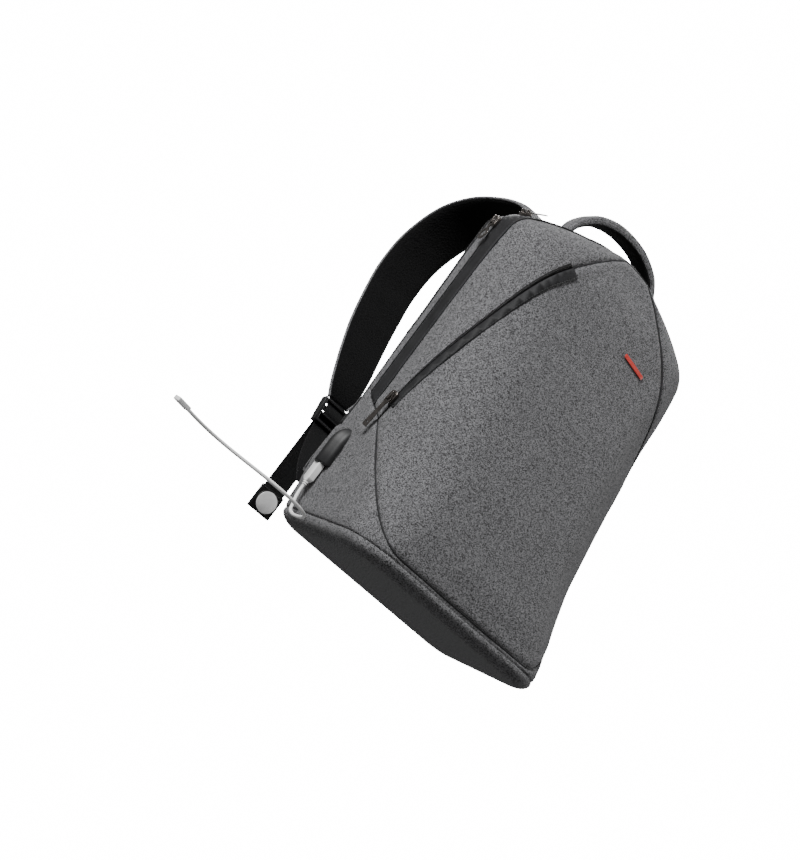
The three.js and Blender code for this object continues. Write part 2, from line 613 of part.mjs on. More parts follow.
// ---- carry handle ----
const HANDLE = { y: 65, rootX: 70, rootZ: 441.6, crest: 488.5 };
const HANDLE_SHAPE = [
  { share: 1, rise: 0, width: 8, thick: 4 }, { share: 0.92, rise: 0.33, width: 22, thick: 8 },
  { share: 0.69, rise: 0.71, width: 26, thick: 11 }, { share: 0.35, rise: 0.94, width: 26, thick: 12 },
];
const handleStop = (sign, { share, rise, width, thick }) => ({
  at: [sign * share * HANDLE.rootX, HANDLE.y, HANDLE.rootZ + rise * (HANDLE.crest - HANDLE.rootZ)],
  width,
  thick,
});
const handleStops = [
  ...HANDLE_SHAPE.map((s) => handleStop(-1, s)),
  { at: [0, HANDLE.y, HANDLE.crest], width: 26, thick: 12 },
  ...HANDLE_SHAPE.slice().reverse().map((s) => handleStop(1, s)),
];
put("carry_handle", strap(handleStops, 24, new THREE.Vector3(0, 1, 0)), heather);

// stitched patches that hold the handle's narrow ends
const PATCH = { long: 17, wide: 12, thick: 1.2 };
for (const [side, sign] of [["left", -1], ["right", 1]]) {
  const skin = bodySolid(-TRIM_LIFT - PATCH.thick).subtract(bodySolid(-TRIM_LIFT));
  const x = sign * HANDLE.rootX;
  const prism = solidOf(box(
    x - PATCH.wide / 2, x + PATCH.wide / 2,
    HANDLE.y - PATCH.long / 2, HANDLE.y + PATCH.long / 2,
    ARCH_Z, HEIGHT + PATCH.thick,
  ));
  putSolid(`handle_patch_${side}`, skin.intersect(prism), heather);
}

// ---- zip sliders and pullers ----
// where a seam plane meets the outside at one height, on the left (sign -1) or right (sign 1)
function seamPoint(plane, z, sign) {
  const ring = section(z, 0, z);
  const side = (p) => p.clone().sub(plane.point).dot(plane.normal);
  let found = null;
  for (let i = 0; i < ring.length; i++) {
    const a = ring[i];
    const b = ring[(i + 1) % ring.length];
    if (side(a) * side(b) > 0) continue;
    const f = side(a) / (side(a) - side(b));
    const p = a.clone().lerp(b, f);
    if (p.x * sign > 0 && (!found || p.y < found.p.y)) found = { p, edge: b.clone().sub(a).normalize() };
  }
  return found;
}

// a frame on the zip: x along it the way the puller lies, z out of the bag, rolled about x
function zipFrame(plane, z, downwards, roll) {
  const here = seamPoint(plane, z, -1);
  const along = seamPoint(plane, z - 2, -1).p.sub(seamPoint(plane, z + 2, -1).p).normalize();
  const out = new THREE.Vector3().crossVectors(along, here.edge).normalize();
  if (out.x > 0) out.negate();
  if (!downwards) along.negate();
  out.applyAxisAngle(along, roll);
  const across = new THREE.Vector3().crossVectors(out, along);
  const basis = new THREE.Matrix4().makeBasis(along, across, out);
  const place = new THREE.Group();
  place.quaternion.setFromRotationMatrix(basis);
  place.position.copy(here.p).addScaledVector(out, SLIDER_LIFT + Math.abs(roll) * SLIDER_HALF_WIDTH);
  return place;
}

const SLIDER_LIFT = 2.25;
const SLIDER_HALF_WIDTH = 4.5;
const POCKET_SLIDER_ROLL = THREE.MathUtils.degToRad(-17);
const SLIDER_HEIGHT = 3.2;
const BRIDGE = { reach: 5, leg: 1.8, width: 3, top: 6.8, hole: 5.4 };
const EYE_X = 1.2; // the puller turns about this point of the bridge
const EYE_Z = (SLIDER_HEIGHT + BRIDGE.hole) / 2;

function sliderSolid() {
  const outline = new THREE.Shape();
  outline.setFromPoints([
    [-6.5, -2.2], [-4.5, -SLIDER_HALF_WIDTH], [5, -SLIDER_HALF_WIDTH], [6.5, -3.5],
    [6.5, 3.5], [5, SLIDER_HALF_WIDTH], [-4.5, SLIDER_HALF_WIDTH], [-6.5, 2.2],
  ].map(([x, y]) => new THREE.Vector2(x, y)));
  const body = solidOf(new THREE.ExtrudeGeometry(outline, { depth: SLIDER_HEIGHT, bevelEnabled: false }));
  const w = BRIDGE.width / 2;
  const bridge = solidOf(box(-BRIDGE.reach, BRIDGE.reach, -w, w, SLIDER_HEIGHT - 0.5, BRIDGE.top));
  const hole = solidOf(box(
    -BRIDGE.reach + BRIDGE.leg, BRIDGE.reach - BRIDGE.leg, -w - 1, w + 1, SLIDER_HEIGHT, BRIDGE.hole,
  ));
  return body.add(bridge.subtract(hole));
}

const PULLER_THICKNESS = 1.2;
const EYE = { bar: 0.6, hole: 5.3, halfHole: 2.3, halfWidth: 3.7 };

// flat pull tab whose eye goes through the bridge; the outline is given on one side of its axis
function pullerGeometry(sideOutline, holes) {
  const points = [
    [-EYE.bar, -EYE.halfWidth], ...sideOutline.map(([x, y]) => [x, -y]),
    ...sideOutline.slice().reverse(), [-EYE.bar, EYE.halfWidth],
  ].map(([x, y]) => new THREE.Vector2(x, y));
  const outline = new THREE.Shape();
  outline.setFromPoints(points);
  const eye = new THREE.Path();
  eye.setFromPoints([
    [EYE.bar, -EYE.halfHole], [EYE.hole, -EYE.halfHole], [EYE.hole, EYE.halfHole], [EYE.bar, EYE.halfHole],
  ].map(([x, y]) => new THREE.Vector2(x, y)));
  outline.holes.push(eye, ...holes);
  const geometry = new THREE.ExtrudeGeometry(outline, {
    depth: PULLER_THICKNESS, bevelEnabled: false, curveSegments: 10,
  });
  geometry.translate(0, 0, -PULLER_THICKNESS / 2);
  return geometry;
}

const circlePath = (x, r) => {
  const SIDES = 14;
  const corners = Array.from({ length: SIDES }, (_, i) => {
    const angle = (2 * Math.PI * i) / SIDES;
    return new THREE.Vector2(x + r * Math.cos(angle), r * Math.sin(angle));
  });
  return new THREE.Path().setFromPoints(corners);
};
const RING = { x: 18, outer: 7.6, inner: 4.2, neck: 1.9 };
const ringSide = [
  [6.6, EYE.halfWidth], [7.6, RING.neck + 0.8], [9.4, RING.neck],
  ...[130, 105, 80, 55, 30, 8].map((degrees) => {
    const angle = THREE.MathUtils.degToRad(degrees);
    return [RING.x + RING.outer * Math.cos(angle), RING.outer * Math.sin(angle)];
  }),
];
const ringPuller = () => pullerGeometry(ringSide, [circlePath(RING.x, RING.inner)]);
const barSide = [[6.6, EYE.halfWidth], [8, 2.6], [20, 2.3], [30, 3.3], [38, 3.3], [39.5, 2.2]];
const barPuller = () => pullerGeometry(barSide, [circlePath(34.5, 1.3)]);

const ZIPS = [
  ["main_slider_left", zipPlane, 384, true, 0, ringPuller],
  ["main_slider_top", zipPlane, 410, false, 0, ringPuller],
  ["pocket_slider", pocketSeamLeft, 157, true, POCKET_SLIDER_ROLL, barPuller],
];
for (const [name, plane, z, downwards, roll, makePuller] of ZIPS) {
  const place = zipFrame(plane, z, downwards, roll);
  const slider = new THREE.Mesh(geometryOf(sliderSolid()), gunmetal);
  slider.name = name;
  const puller = new THREE.Mesh(makePuller(), gunmetal);
  puller.name = `${name}_puller`;
  puller.position.set(EYE_X, 0, EYE_Z);
  place.add(slider, puller);
  group.add(place);
}

export default group;
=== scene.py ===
"""Looks of the charging backpack: panels cut from one smooth skin, zips, straps, pads and fittings."""

import math

import bmesh
import bpy
from mathutils import Matrix, Vector, noise
from mathutils.kdtree import KDTree


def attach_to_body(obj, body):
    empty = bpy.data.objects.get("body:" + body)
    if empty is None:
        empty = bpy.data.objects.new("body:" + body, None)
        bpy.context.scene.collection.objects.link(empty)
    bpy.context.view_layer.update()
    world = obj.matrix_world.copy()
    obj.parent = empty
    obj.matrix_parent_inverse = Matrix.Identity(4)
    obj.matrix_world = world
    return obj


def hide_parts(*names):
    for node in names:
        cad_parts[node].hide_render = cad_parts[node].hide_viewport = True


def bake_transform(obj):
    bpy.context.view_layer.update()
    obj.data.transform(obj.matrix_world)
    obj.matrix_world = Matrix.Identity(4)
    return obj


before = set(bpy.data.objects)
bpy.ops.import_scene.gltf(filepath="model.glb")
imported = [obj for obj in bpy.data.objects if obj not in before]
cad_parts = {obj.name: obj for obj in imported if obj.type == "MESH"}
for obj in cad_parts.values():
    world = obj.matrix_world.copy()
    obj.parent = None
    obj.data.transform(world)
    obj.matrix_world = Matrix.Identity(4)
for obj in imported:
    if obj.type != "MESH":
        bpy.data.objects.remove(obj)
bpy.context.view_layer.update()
MM = 0.001

# ---- the bag's dimensions, as in the CAD, in millimetres ----
HEIGHT, HALF_BASE, FLARE = 448.0, 133.0, 0.0275
FRONT_Y, LEAN, BACK_Y = -112.0, 0.255, 93.0
LUMBAR_DEPTH, LUMBAR_Z, LUMBAR_REACH = 13.0, 88.0, 66.0
SHOULDER_Z, SHOULDER_R, SHOULDER_TURN = 384.0, 26.0, math.radians(54)
BASE_R, CROWN_R, BACK_R = 16.0, 12.0, 20.0
FRONT_BULGE, SIDE_BULGE = 7.0, 3.0
ARCH_X = HALF_BASE + FLARE * SHOULDER_Z - SHOULDER_R + SHOULDER_R * math.cos(SHOULDER_TURN)
ARCH_Z = SHOULDER_Z + SHOULDER_R * math.sin(SHOULDER_TURN)
ARCH_RISE = HEIGHT - ARCH_Z
ARCH_RADIUS = (ARCH_X ** 2 + ARCH_RISE ** 2) / (2 * ARCH_RISE)
ARCH_CENTRE = HEIGHT - ARCH_RADIUS
ZIP_FOOT, ZIP_TOP = (59, 157), (47, 395)
KNEE, TOE = (14, 134), (-112, 15)
BACK_SEAM_FOOT, BACK_SEAM_TOP = (79, 150), (74, 400)
BACK_STRIP, STRIP_FOOT_Z, BASE_SEAM_Z = 12, 118, 14
TOP_SEAM_INSET, TOP_SEAM_FLOOR_Z = 4, 405
FOLD_DEPTH = 62
GUARD_WIDTH, POCKET_GUARD = 23, 9

# ---- camera ----
EYE = (-0.7843, -1.3565, -0.1959)
YAW, PITCH, ROLL = math.radians(26.18), math.radians(12.37), math.radians(36.72)
LENS = 64.7


def make_camera():
    forward = Vector((math.sin(YAW) * math.cos(PITCH), math.cos(YAW) * math.cos(PITCH), math.sin(PITCH)))
    right = Vector((math.cos(YAW), -math.sin(YAW), 0))
    up = right.cross(forward)
    right, up = (
        right * math.cos(ROLL) + up * math.sin(ROLL),
        up * math.cos(ROLL) - right * math.sin(ROLL),
    )
    turn = Matrix((right, up, -forward)).transposed().to_4x4()
    data = bpy.data.cameras.new("camera")
    data.lens = LENS
    data.sensor_width = 36
    camera = bpy.data.objects.new("camera", data)
    camera.matrix_world = Matrix.Translation(EYE) @ turn
    bpy.context.collection.objects.link(camera)
    bpy.context.scene.camera = camera


make_camera()


# ---- materials ----
class Shade:
    """Small helper around a material's node tree."""

    def __init__(self, name, roughness=0.8, metallic=0.0, **sockets):
        self.material = bpy.data.materials.new(name)
        self.material.use_nodes = True
        self.tree = self.material.node_tree
        self.bsdf = self.tree.nodes["Principled BSDF"]
        self.bsdf.inputs["Roughness"].default_value = roughness
        self.bsdf.inputs["Metallic"].default_value = metallic
        for socket, value in sockets.items():
            self.bsdf.inputs[socket.replace("_", " ")].default_value = value
        self.coords = self.add("ShaderNodeTexCoord").outputs["Object"]

    def add(self, kind, **values):
        node = self.tree.nodes.new(kind)
        for key, value in values.items():
            if key in node.inputs:
                node.inputs[key].default_value = value
            else:
                setattr(node, key, value)
        return node

    def link(self, a, b):
        self.tree.links.new(a, b)

    def mapped(self, scale):
        node = self.add("ShaderNodeMapping")
        node.inputs["Scale"].default_value = scale
        self.link(self.coords, node.inputs["Vector"])
        return node.outputs["Vector"]

    def noise(self, scale, detail=2.0, rough=0.5, stretch=(1, 1, 1)):
        node = self.add("ShaderNodeTexNoise", Scale=scale, Detail=detail, Roughness=rough)
        self.link(self.mapped(stretch), node.inputs["Vector"])
        return node.outputs["Fac"]

    def voronoi(self, scale, stretch=(1, 1, 1)):
        node = self.add("ShaderNodeTexVoronoi", Scale=scale)
        self.link(self.mapped(stretch), node.inputs["Vector"])
        return node.outputs["Distance"]

    def wave(self, scale, axis, distortion=0.0):
        node = self.add("ShaderNodeTexWave", Scale=scale, Distortion=distortion)
        node.wave_type = "BANDS"
        node.bands_direction = axis
        self.link(self.coords, node.inputs["Vector"])
        return node.outputs["Fac"]

    def math(self, kind, a, b):
        node = self.add("ShaderNodeMath", operation=kind)
        for i, value in enumerate((a, b)):
            if isinstance(value, (int, float)):
                node.inputs[i].default_value = value
            else:
                self.link(value, node.inputs[i])
        return node.outputs[0]

    def ramp(self, fac, stops):
        node = self.add("ShaderNodeValToRGB")
        ramp = node.color_ramp
        while len(ramp.elements) < len(stops):
            ramp.elements.new(0.5)
        for element, (at, colour) in zip(ramp.elements, stops):
            element.position = at
            element.color = (*colour, 1)
        self.link(fac, node.inputs["Fac"])
        return node.outputs["Color"]

    def colour(self, output):
        self.link(output, self.bsdf.inputs["Base Color"])

    def rough(self, fac, low, high):
        node = self.add("ShaderNodeMapRange", **{"To Min": low, "To Max": high})
        self.link(fac, node.inputs["Value"])
        self.link(node.outputs[0], self.bsdf.inputs["Roughness"])

    def bump(self, height, distance, strength=1.0):
        node = self.add("ShaderNodeBump", Strength=strength, Distance=distance)
        self.link(height, node.inputs["Height"])
        self.link(node.outputs["Normal"], self.bsdf.inputs["Normal"])
        return self.material


def grey(value, tint=1.0):
    return (value, value, value * tint)


def heather_material(name, dark, light, contrast=1.0):
    """Melange weave: threads stretched level and upright, with soft blotches and a fine weave bump."""
    s = Shade(name, 0.92, Sheen_Weight=0.12, Sheen_Roughness=0.5)
    level = s.noise(1.0, 2, 0.65, (620, 620, 1900))
    upright = s.noise(1.0, 2, 0.65, (1900, 1900, 620))
    threads = s.math("MULTIPLY", s.math("ADD", level, upright), 0.5)
    blotches = s.noise(260, 3, 0.6)
    mixed = s.math("ADD", s.math("MULTIPLY", threads, 0.9), s.math("MULTIPLY", blotches, 0.1))
    middle = tuple((a + b) / 2 for a, b in zip(dark, light))
    spread = 0.05 / contrast
    s.colour(s.ramp(mixed, [(0.5 - spread, dark), (0.5, middle), (0.5 + spread, light)]))
    upright_rib = s.wave(340, "Z", 1.2)
    level_rib = s.math("MAXIMUM", s.wave(340, "X", 1.2), s.wave(340, "Y", 1.2))
    weave = s.math("MULTIPLY", upright_rib, level_rib)
    s.rough(blotches, 0.86, 0.97)
    return s.bump(s.math("ADD", s.math("MULTIPLY", weave, 0.5), threads), 0.0005, 0.6)


def tape_material():
    """Dark coated tape with a fine rib and slight sheen."""
    s = Shade("coated_tape", 0.6, Specular_IOR_Level=0.3)
    fine = s.noise(900, 2, 0.5)
    cloudy = s.noise(60, 3, 0.5)
    mixed = s.math("ADD", s.math("MULTIPLY", fine, 0.5), s.math("MULTIPLY", cloudy, 0.5))
    s.colour(s.ramp(mixed, [(0.35, (0.011, 0.0112, 0.012)), (0.68, (0.026, 0.0265, 0.028))]))
    s.rough(cloudy, 0.5, 0.72)
    return s.bump(s.math("ADD", s.wave(420, "Z"), fine), 0.00025, 0.5)


def mesh_material():
    """Black air mesh: round cells over foam."""
    s = Shade("air_mesh", 0.95, Specular_IOR_Level=0.15)
    cells = s.voronoi(430)
    s.colour(s.ramp(cells, [(0.12, (0.0008, 0.0008, 0.001)), (0.42, (0.0035, 0.0035, 0.0038))]))
    s.rough(cells, 0.98, 0.85)
    return s.bump(cells, 0.0009, 0.8)


def webbing_material():
    """Ribbed black webbing."""
    s = Shade("webbing", 0.75, Specular_IOR_Level=0.25)
    ribs = s.wave(260, "Z", 0.6)
    threads = s.noise(1.0, 2, 0.5, (1400, 1400, 500))
    mixed = s.math("ADD", s.math("MULTIPLY", ribs, 0.6), s.math("MULTIPLY", threads, 0.4))
    s.colour(s.ramp(mixed, [(0.2, (0.0012, 0.0012, 0.0015)), (0.8, (0.006, 0.006, 0.0066))]))
    s.rough(threads, 0.65, 0.85)
    return s.bump(mixed, 0.0005, 0.8)


def lining_material():
    """Thin dark ripstop lining."""
    s = Shade("lining", 0.7, Sheen_Weight=0.1)
    grid = s.math("MAXIMUM", s.wave(38, "Z"), s.wave(38, "X"))
    threads = s.noise(700, 2, 0.5)
    s.colour(s.ramp(threads, [(0.3, (0.03, 0.031, 0.036)), (0.7, (0.06, 0.062, 0.07))]))
    s.rough(threads, 0.6, 0.8)
    return s.bump(s.math("ADD", s.math("MULTIPLY", grid, 0.6), threads), 0.0003, 0.5)


def plastic_material(name, colour, roughness, grain=420):
    s = Shade(name, roughness)
    fine = s.noise(grain, 3, 0.6)
    patches = s.noise(35, 2, 0.5)
    light = tuple(min(1, v * 1.35 + 0.004) for v in colour)
    s.colour(s.ramp(patches, [(0.3, colour), (0.75, light)]))
    s.rough(patches, roughness - 0.08, roughness + 0.1)
    return s.bump(fine, 0.00012, 0.5)


def metal_material(name, colour, roughness):
    """Plated metal with fine scratches and worn high spots."""
    s = Shade(name, roughness, 1.0)
    scratches = s.noise(1.0, 3, 0.7, (900, 120, 400))
    patches = s.noise(160, 3, 0.6)
    light = tuple(min(1, v * 1.8) for v in colour)
    s.colour(s.ramp(patches, [(0.35, colour), (0.72, light)]))
    s.rough(scratches, roughness - 0.08, roughness + 0.16)
    return s.bump(scratches, 0.00008, 0.4)


def reflector_material():
    s = Shade("reflector", 0.35, Coat_Weight=0.4)
    beads = s.voronoi(700)
    patches = s.noise(90, 2, 0.5)
    s.colour(s.ramp(patches, [(0.3, grey(0.66)), (0.7, grey(0.8))]))
    return s.bump(beads, 0.0002, 0.5)


HEATHER = heather_material("heather", grey(0.003, 1.06), grey(0.215, 1.04), 1.15)
RIM_HEATHER = heather_material("heather_rim", grey(0.03, 1.05), grey(0.24, 1.03))
TAPE = tape_material()
AIR_MESH = mesh_material()
WEBBING = webbing_material()
LINING = lining_material()
NYLON = plastic_material("moulded_nylon", (0.005, 0.005, 0.0055), 0.42)
RUBBER = plastic_material("soft_rubber", (0.006, 0.006, 0.007), 0.5, 800)
WHITE = plastic_material("white_sheath", (0.9, 0.9, 0.89), 0.35, 300)
RED = plastic_material("red_print", (0.48, 0.03, 0.02), 0.55, 900)
BANK = plastic_material("bank_shell", (0.02, 0.022, 0.028), 0.38, 600)
ZIP_METAL = metal_material("gunmetal", (0.17, 0.155, 0.145), 0.22)
STEEL = metal_material("plug_steel", (0.5, 0.5, 0.52), 0.28)
THREAD = plastic_material("thread", (0.05, 0.05, 0.052), 0.8, 2000)
REFLECTOR = reflector_material()


# ---- mesh helpers ----
def new_object(name, vertices, faces, materials, indices=None):
    mesh = bpy.data.meshes.new(name)
    mesh.from_pydata([tuple(c * MM for c in v) for v in vertices], [], faces)
    for material in materials:
        mesh.materials.append(material)
    if indices:
        mesh.polygons.foreach_set("material_index", indices)
    mesh.polygons.foreach_set("use_smooth", [True] * len(mesh.polygons))
    mesh.update()
    obj = bpy.data.objects.new(name, mesh)
    bpy.context.collection.objects.link(obj)
    return obj


def settle(obj):
    """Apply every modifier."""
    graph = bpy.context.evaluated_depsgraph_get()
    mesh = bpy.data.meshes.new_from_object(obj.evaluated_get(graph))
    obj.modifiers.clear()
    old = obj.data
    obj.data = mesh
    bpy.data.meshes.remove(old)
    return obj


def finish_piece(obj, body, slot, *nodes):
    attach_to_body(obj, body)
    if nodes:
        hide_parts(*nodes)
    return obj


def face_outward(obj):
    bm = bmesh.new()
    bm.from_mesh(obj.data)
    bmesh.ops.recalc_face_normals(bm, faces=bm.faces)
    bm.to_mesh(obj.data)
    bm.free()
    return obj


def round_edges(obj, width, segments):
    rounding = obj.modifiers.new("bevel", "BEVEL")
    rounding.width = width * MM
    rounding.segments = segments
    return rounding


def curve_point(a, b, c, d, t):
    """Catmull-Rom: the point at share t of the way from b to c."""
    return 0.5 * (
        2 * b + (c - a) * t + (2 * a - 5 * b + 4 * c - d) * t ** 2
        + (3 * b - a - 3 * c + d) * t ** 3
    )


def circle(radius, sides):
    turns = [2 * math.pi * i / sides for i in range(sides)]
    return [(radius * math.cos(a), radius * math.sin(a)) for a in turns]


def tube_faces(rows, size):
    """The side faces of a tube, row by row, and then its two ends."""
    sides = [
        (i * size + j, i * size + (j + 1) % size, (i + 1) * size + (j + 1) % size, (i + 1) * size + j)
        for i in range(rows - 1) for j in range(size)
    ]
    return sides + [tuple(range(size)), tuple(reversed(range((rows - 1) * size, rows * size)))]


def full_turn(steps):
    return [2 * math.pi * i / steps for i in range(steps + 1)]


def catmull(points, spacing):
    """Points of a smooth curve through the given ones, about spacing apart."""
    out = []
    pts = [Vector(p) for p in points]
    pts = [pts[0] * 2 - pts[1], *pts, pts[-1] * 2 - pts[-2]]
    for i in range(1, len(pts) - 2):
        a, b, c, d = pts[i - 1:i + 3]
        n = max(1, round((c - b).length / spacing))
        for k in range(n):
            out.append(curve_point(a, b, c, d, k / n))
    out.append(pts[-2].copy())
    return out


def sweep(name, centres, frames, profiles, materials, pick=None):
    """Skin over one closed profile per centre; frames give (side, out) directions."""
    size = len(profiles[0])
    verts = []
    for centre, (side, out), profile in zip(centres, frames, profiles):
        verts += [centre + side * u + out * v for u, v in profile]
    faces = tube_faces(len(centres), size)
    indices = [pick(j) if pick else 0 for _ in centres[1:] for j in range(size)] + [0, 0]
    return face_outward(new_object(name, verts, faces, materials, indices))


def tangents(points):
    last = len(points) - 1
    return [(points[min(i + 1, last)] - points[max(i - 1, 0)]).normalized() for i in range(last + 1)]


def bars(name, places, length, width, height, material):
    """Many small six-sided bars, each placed by (centre, along, out)."""
    verts, faces = [], []
    for centre, along, out in places:
        across = along.cross(out).normalized()
        base = len(verts)
        for end, grow in ((-1, 0.45), (-0.6, 1), (0.6, 1), (1, 0.45)):
            for s, o in ((-1, 0), (-0.6, 1), (0.6, 1), (1, 0)):
                verts.append(
                    centre + along * (end * length / 2) + across * (s * width / 2 * grow)
                    + out * (o * height * grow)
                )
        for i in range(3):
            for j in range(4):
                k = (j + 1) % 4
                a, b = base + i * 4, base + (i + 1) * 4
                faces.append((a + j, a + k, b + k, b + j))
        faces.append((base, base + 3, base + 2, base + 1))
        faces.append((base + 12, base + 13, base + 14, base + 15))
    return new_object(name, verts, faces, [material])


def resample(points, normals, spacing):
    """Even steps along a polyline with its normals."""
    out = []
    carry = 0.0
    for i in range(len(points) - 1):
        a, b = points[i], points[i + 1]
        length = (b - a).length
        at = carry
        while at < length:
            f = at / length
            normal = normals[i].lerp(normals[i + 1], f).normalized()
            out.append((a.lerp(b, f), (b - a).normalized(), normal))
            at += spacing
        carry = at - length
    return out


# ---- the charging cable ----
def arch_half(z):
    return math.sqrt(max(ARCH_RADIUS ** 2 - (z - ARCH_CENTRE) ** 2, 0))


def half_width(z):
    if z <= SHOULDER_Z:
        return HALF_BASE + FLARE * z
    if z <= ARCH_Z:
        centre = HALF_BASE + FLARE * SHOULDER_Z - SHOULDER_R
        return centre + math.sqrt(SHOULDER_R ** 2 - (z - SHOULDER_Z) ** 2)
    return arch_half(z)


POD_WALL_X = -(half_width(90) + SIDE_BULGE * 0.6)
SOCKET_X = POD_WALL_X - 5.5
POD_Y = 50
CORD_RADIUS = 1.8
CORD_ROUTE = [
    (SOCKET_X, 50, 41.4), (SOCKET_X - 0.3, 49.5, 33), (SOCKET_X - 1, 46, 23.5), (SOCKET_X - 2, 39, 14.5),
    (-148, 29, 7.5), (-149.5, 17, 3.6), (-151, 4, 2.2), (-153, -12, 2.1), (-158, -28, 2.1),
    (-168, -43, 2.1), (-183, -54, 2.1), (-202, -60, 2.1), (-224, -60, 2.1), (-246, -55, 2.1),
    (-268, -50, 2.1), (-290, -50, 2.1), (-311, -56, 2.1), (-330, -66, 2.1),
]
LEAD_RADIUS = 1.5
LEAD_PLUG_X, LEAD_PLUG_Y, LEAD_PLUG_TOP = -74, 51.5, 136
LEAD_ROUTE = [
    (LEAD_PLUG_X, LEAD_PLUG_Y, LEAD_PLUG_TOP + 0.4), (LEAD_PLUG_X - 0.5, LEAD_PLUG_Y, LEAD_PLUG_TOP + 9),
    (LEAD_PLUG_X - 6, LEAD_PLUG_Y, LEAD_PLUG_TOP + 17), (LEAD_PLUG_X - 16, LEAD_PLUG_Y, LEAD_PLUG_TOP + 20),
    (LEAD_PLUG_X - 28, LEAD_PLUG_Y, LEAD_PLUG_TOP + 14), (-112, 51, LEAD_PLUG_TOP),
    (-117, 50.5, 121), (-119, POD_Y, 109), (-122.5, POD_Y, 99.5), (POD_WALL_X + 9.9, POD_Y, 96),
]


def cable_curve(name, route, radius, material):
    points = catmull(route, 3.5)
    data = bpy.data.curves.new(name, "CURVE")
    data.dimensions = "3D"
    data.bevel_depth = radius * MM
    data.bevel_resolution = 3
    data.use_fill_caps = True
    spline = data.splines.new("POLY")
    spline.points.add(len(points) - 1)
    for point, p in zip(spline.points, points):
        point.co = (p.x * MM, p.y * MM, p.z * MM, 1)
    spline.use_smooth = True
    data.materials.append(material)
    obj = bpy.data.objects.new(name, data)
    bpy.context.collection.objects.link(obj)
    length = sum((b - a).length for a, b in zip(points, points[1:])) * MM
    return obj, length


def hardware(node, body, slot, material, bevel=0.3, segments=2):
    """The CAD solid again, with its edges rounded off."""
    obj = bpy.data.objects.new(node + "_look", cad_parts[node].data.copy())
    bpy.context.collection.objects.link(obj)
    obj.data.materials.clear()
    obj.data.materials.append(material)
    bm = bmesh.new()
    bm.from_mesh(obj.data)
    bmesh.ops.remove_doubles(bm, verts=bm.verts, dist=0.00001)
    bmesh.ops.dissolve_limit(bm, angle_limit=math.radians(1), verts=bm.verts, edges=bm.edges)
    for face in bm.faces:
        face.smooth = True
        face.material_index = 0
    bm.to_mesh(obj.data)
    bm.free()
    rounding = round_edges(obj, bevel, segments)
    rounding.limit_method = "ANGLE"
    rounding.angle_limit = math.radians(32)
    rounding.harden_normals = True
    settle(obj)
    return finish_piece(obj, body, slot, node)


cable, cable_length = cable_curve("charging_cable", CORD_ROUTE, CORD_RADIUS, WHITE)
finish_piece(cable, "bag", "white_plastic", "usb_cable")
usb_plug = hardware("usb_plug", "bag", "white_plastic", WHITE, 0.9, 3)
usb_tip = hardware("usb_plug_tip", "bag", "plug_steel", STEEL, 0.35)
phone_plug = hardware("phone_plug", "bag", "white_plastic", WHITE, 1.1, 3)


# ---- the bag's smooth outer skin ----
def smooth(v):
    t = min(1.0, max(0.0, v))
    return t * t * (3 - 2 * t)


class Level:
    """Sizes of the horizontal section at one height."""

    def __init__(self, z):
        low, high = max(0.0, BASE_R - z), max(0.0, z - (HEIGHT - CROWN_R))
        foot = BASE_R - math.sqrt(max(BASE_R ** 2 - low ** 2, 0))
        crown = CROWN_R - math.sqrt(max(CROWN_R ** 2 - high ** 2, 0))
        t = abs(z - LUMBAR_Z) / LUMBAR_REACH
        hips = LUMBAR_DEPTH * math.cos(t * math.pi / 2) ** 2 if t < 1 else 0.0
        self.z = z
        self.a = max(half_width(z) - foot, 2)
        self.front = FRONT_Y + LEAN * z + foot + crown
        self.back = BACK_Y + hips - foot - crown
        self.middle = (self.front + self.back) / 2
        radius = 42 + 32 * smooth(z / 130) - 16 * smooth((z - 260) / 110)
        self.rf = min(radius - foot * 0.5, self.a * 0.8)
        self.rb = min(BACK_R, self.a * 0.15 + 3)
        self.full = smooth(z / 60) * smooth((HEIGHT - z) / 70)

    def ring(self, steps=(16, 14, 28, 7, 16)):
        half = []

        def line(x0, y0, x1, y1, n):
            half.extend((x0 + (x1 - x0) * i / n, y0 + (y1 - y0) * i / n) for i in range(n))

        def arc(cx, cy, r, start, n):
            for i in range(n):
                angle = start + math.pi / 2 * i / n
                half.append((cx + r * math.cos(angle), cy + r * math.sin(angle)))

        a, rf, rb = self.a, self.rf, self.rb
        line(0, self.front, a - rf, self.front, steps[0])
        arc(a - rf, self.front + rf, rf, -math.pi / 2, steps[1])
        line(a, self.front + rf, a, self.back - rb, steps[2])
        arc(a - rb, self.back - rb, rb, 0, steps[3])
        line(a - rb, self.back, 0, self.back, steps[4])
        half.append((0, self.back))
        out = [self.swell(x, y) for x, y in half]
        return [Vector((x, y, self.z)) for x, y in out + [(-x, y) for x, y in out[-2:0:-1]]]

    def swell(self, x, y):
        across = 1 - (x / self.a) ** 2
        along = 1 - ((y - self.middle) / ((self.back - self.front) / 2)) ** 2
        share = (self.middle - y) / (self.middle - self.front) if y < self.middle else 0
        return (
            x + SIDE_BULGE * self.full * along * (x / self.a) ** 2,
            y - FRONT_BULGE * self.full * across * share,
        )

    def back_at(self, x):
        over = abs(x) - (self.a - self.rb)
        if over <= 0:
            return self.back
        return self.back - self.rb + math.sqrt(max(self.rb ** 2 - over ** 2, 0))


def skin_heights():
    heights = [0, 0.6, 1.6, 3, 4.8, 7, 9.5, 12.5, 16]
    z = 20.0
    while z < SHOULDER_Z:
        heights.append(z)
        z += 4.4
    heights += [SHOULDER_Z + SHOULDER_R * math.sin(SHOULDER_TURN * i / 8) for i in range(8)]
    top = math.asin(ARCH_X / ARCH_RADIUS)
    heights += [ARCH_CENTRE + ARCH_RADIUS * math.cos(top * (1 - i / 34)) for i in range(34)]
    return heights + [HEIGHT - 0.02]


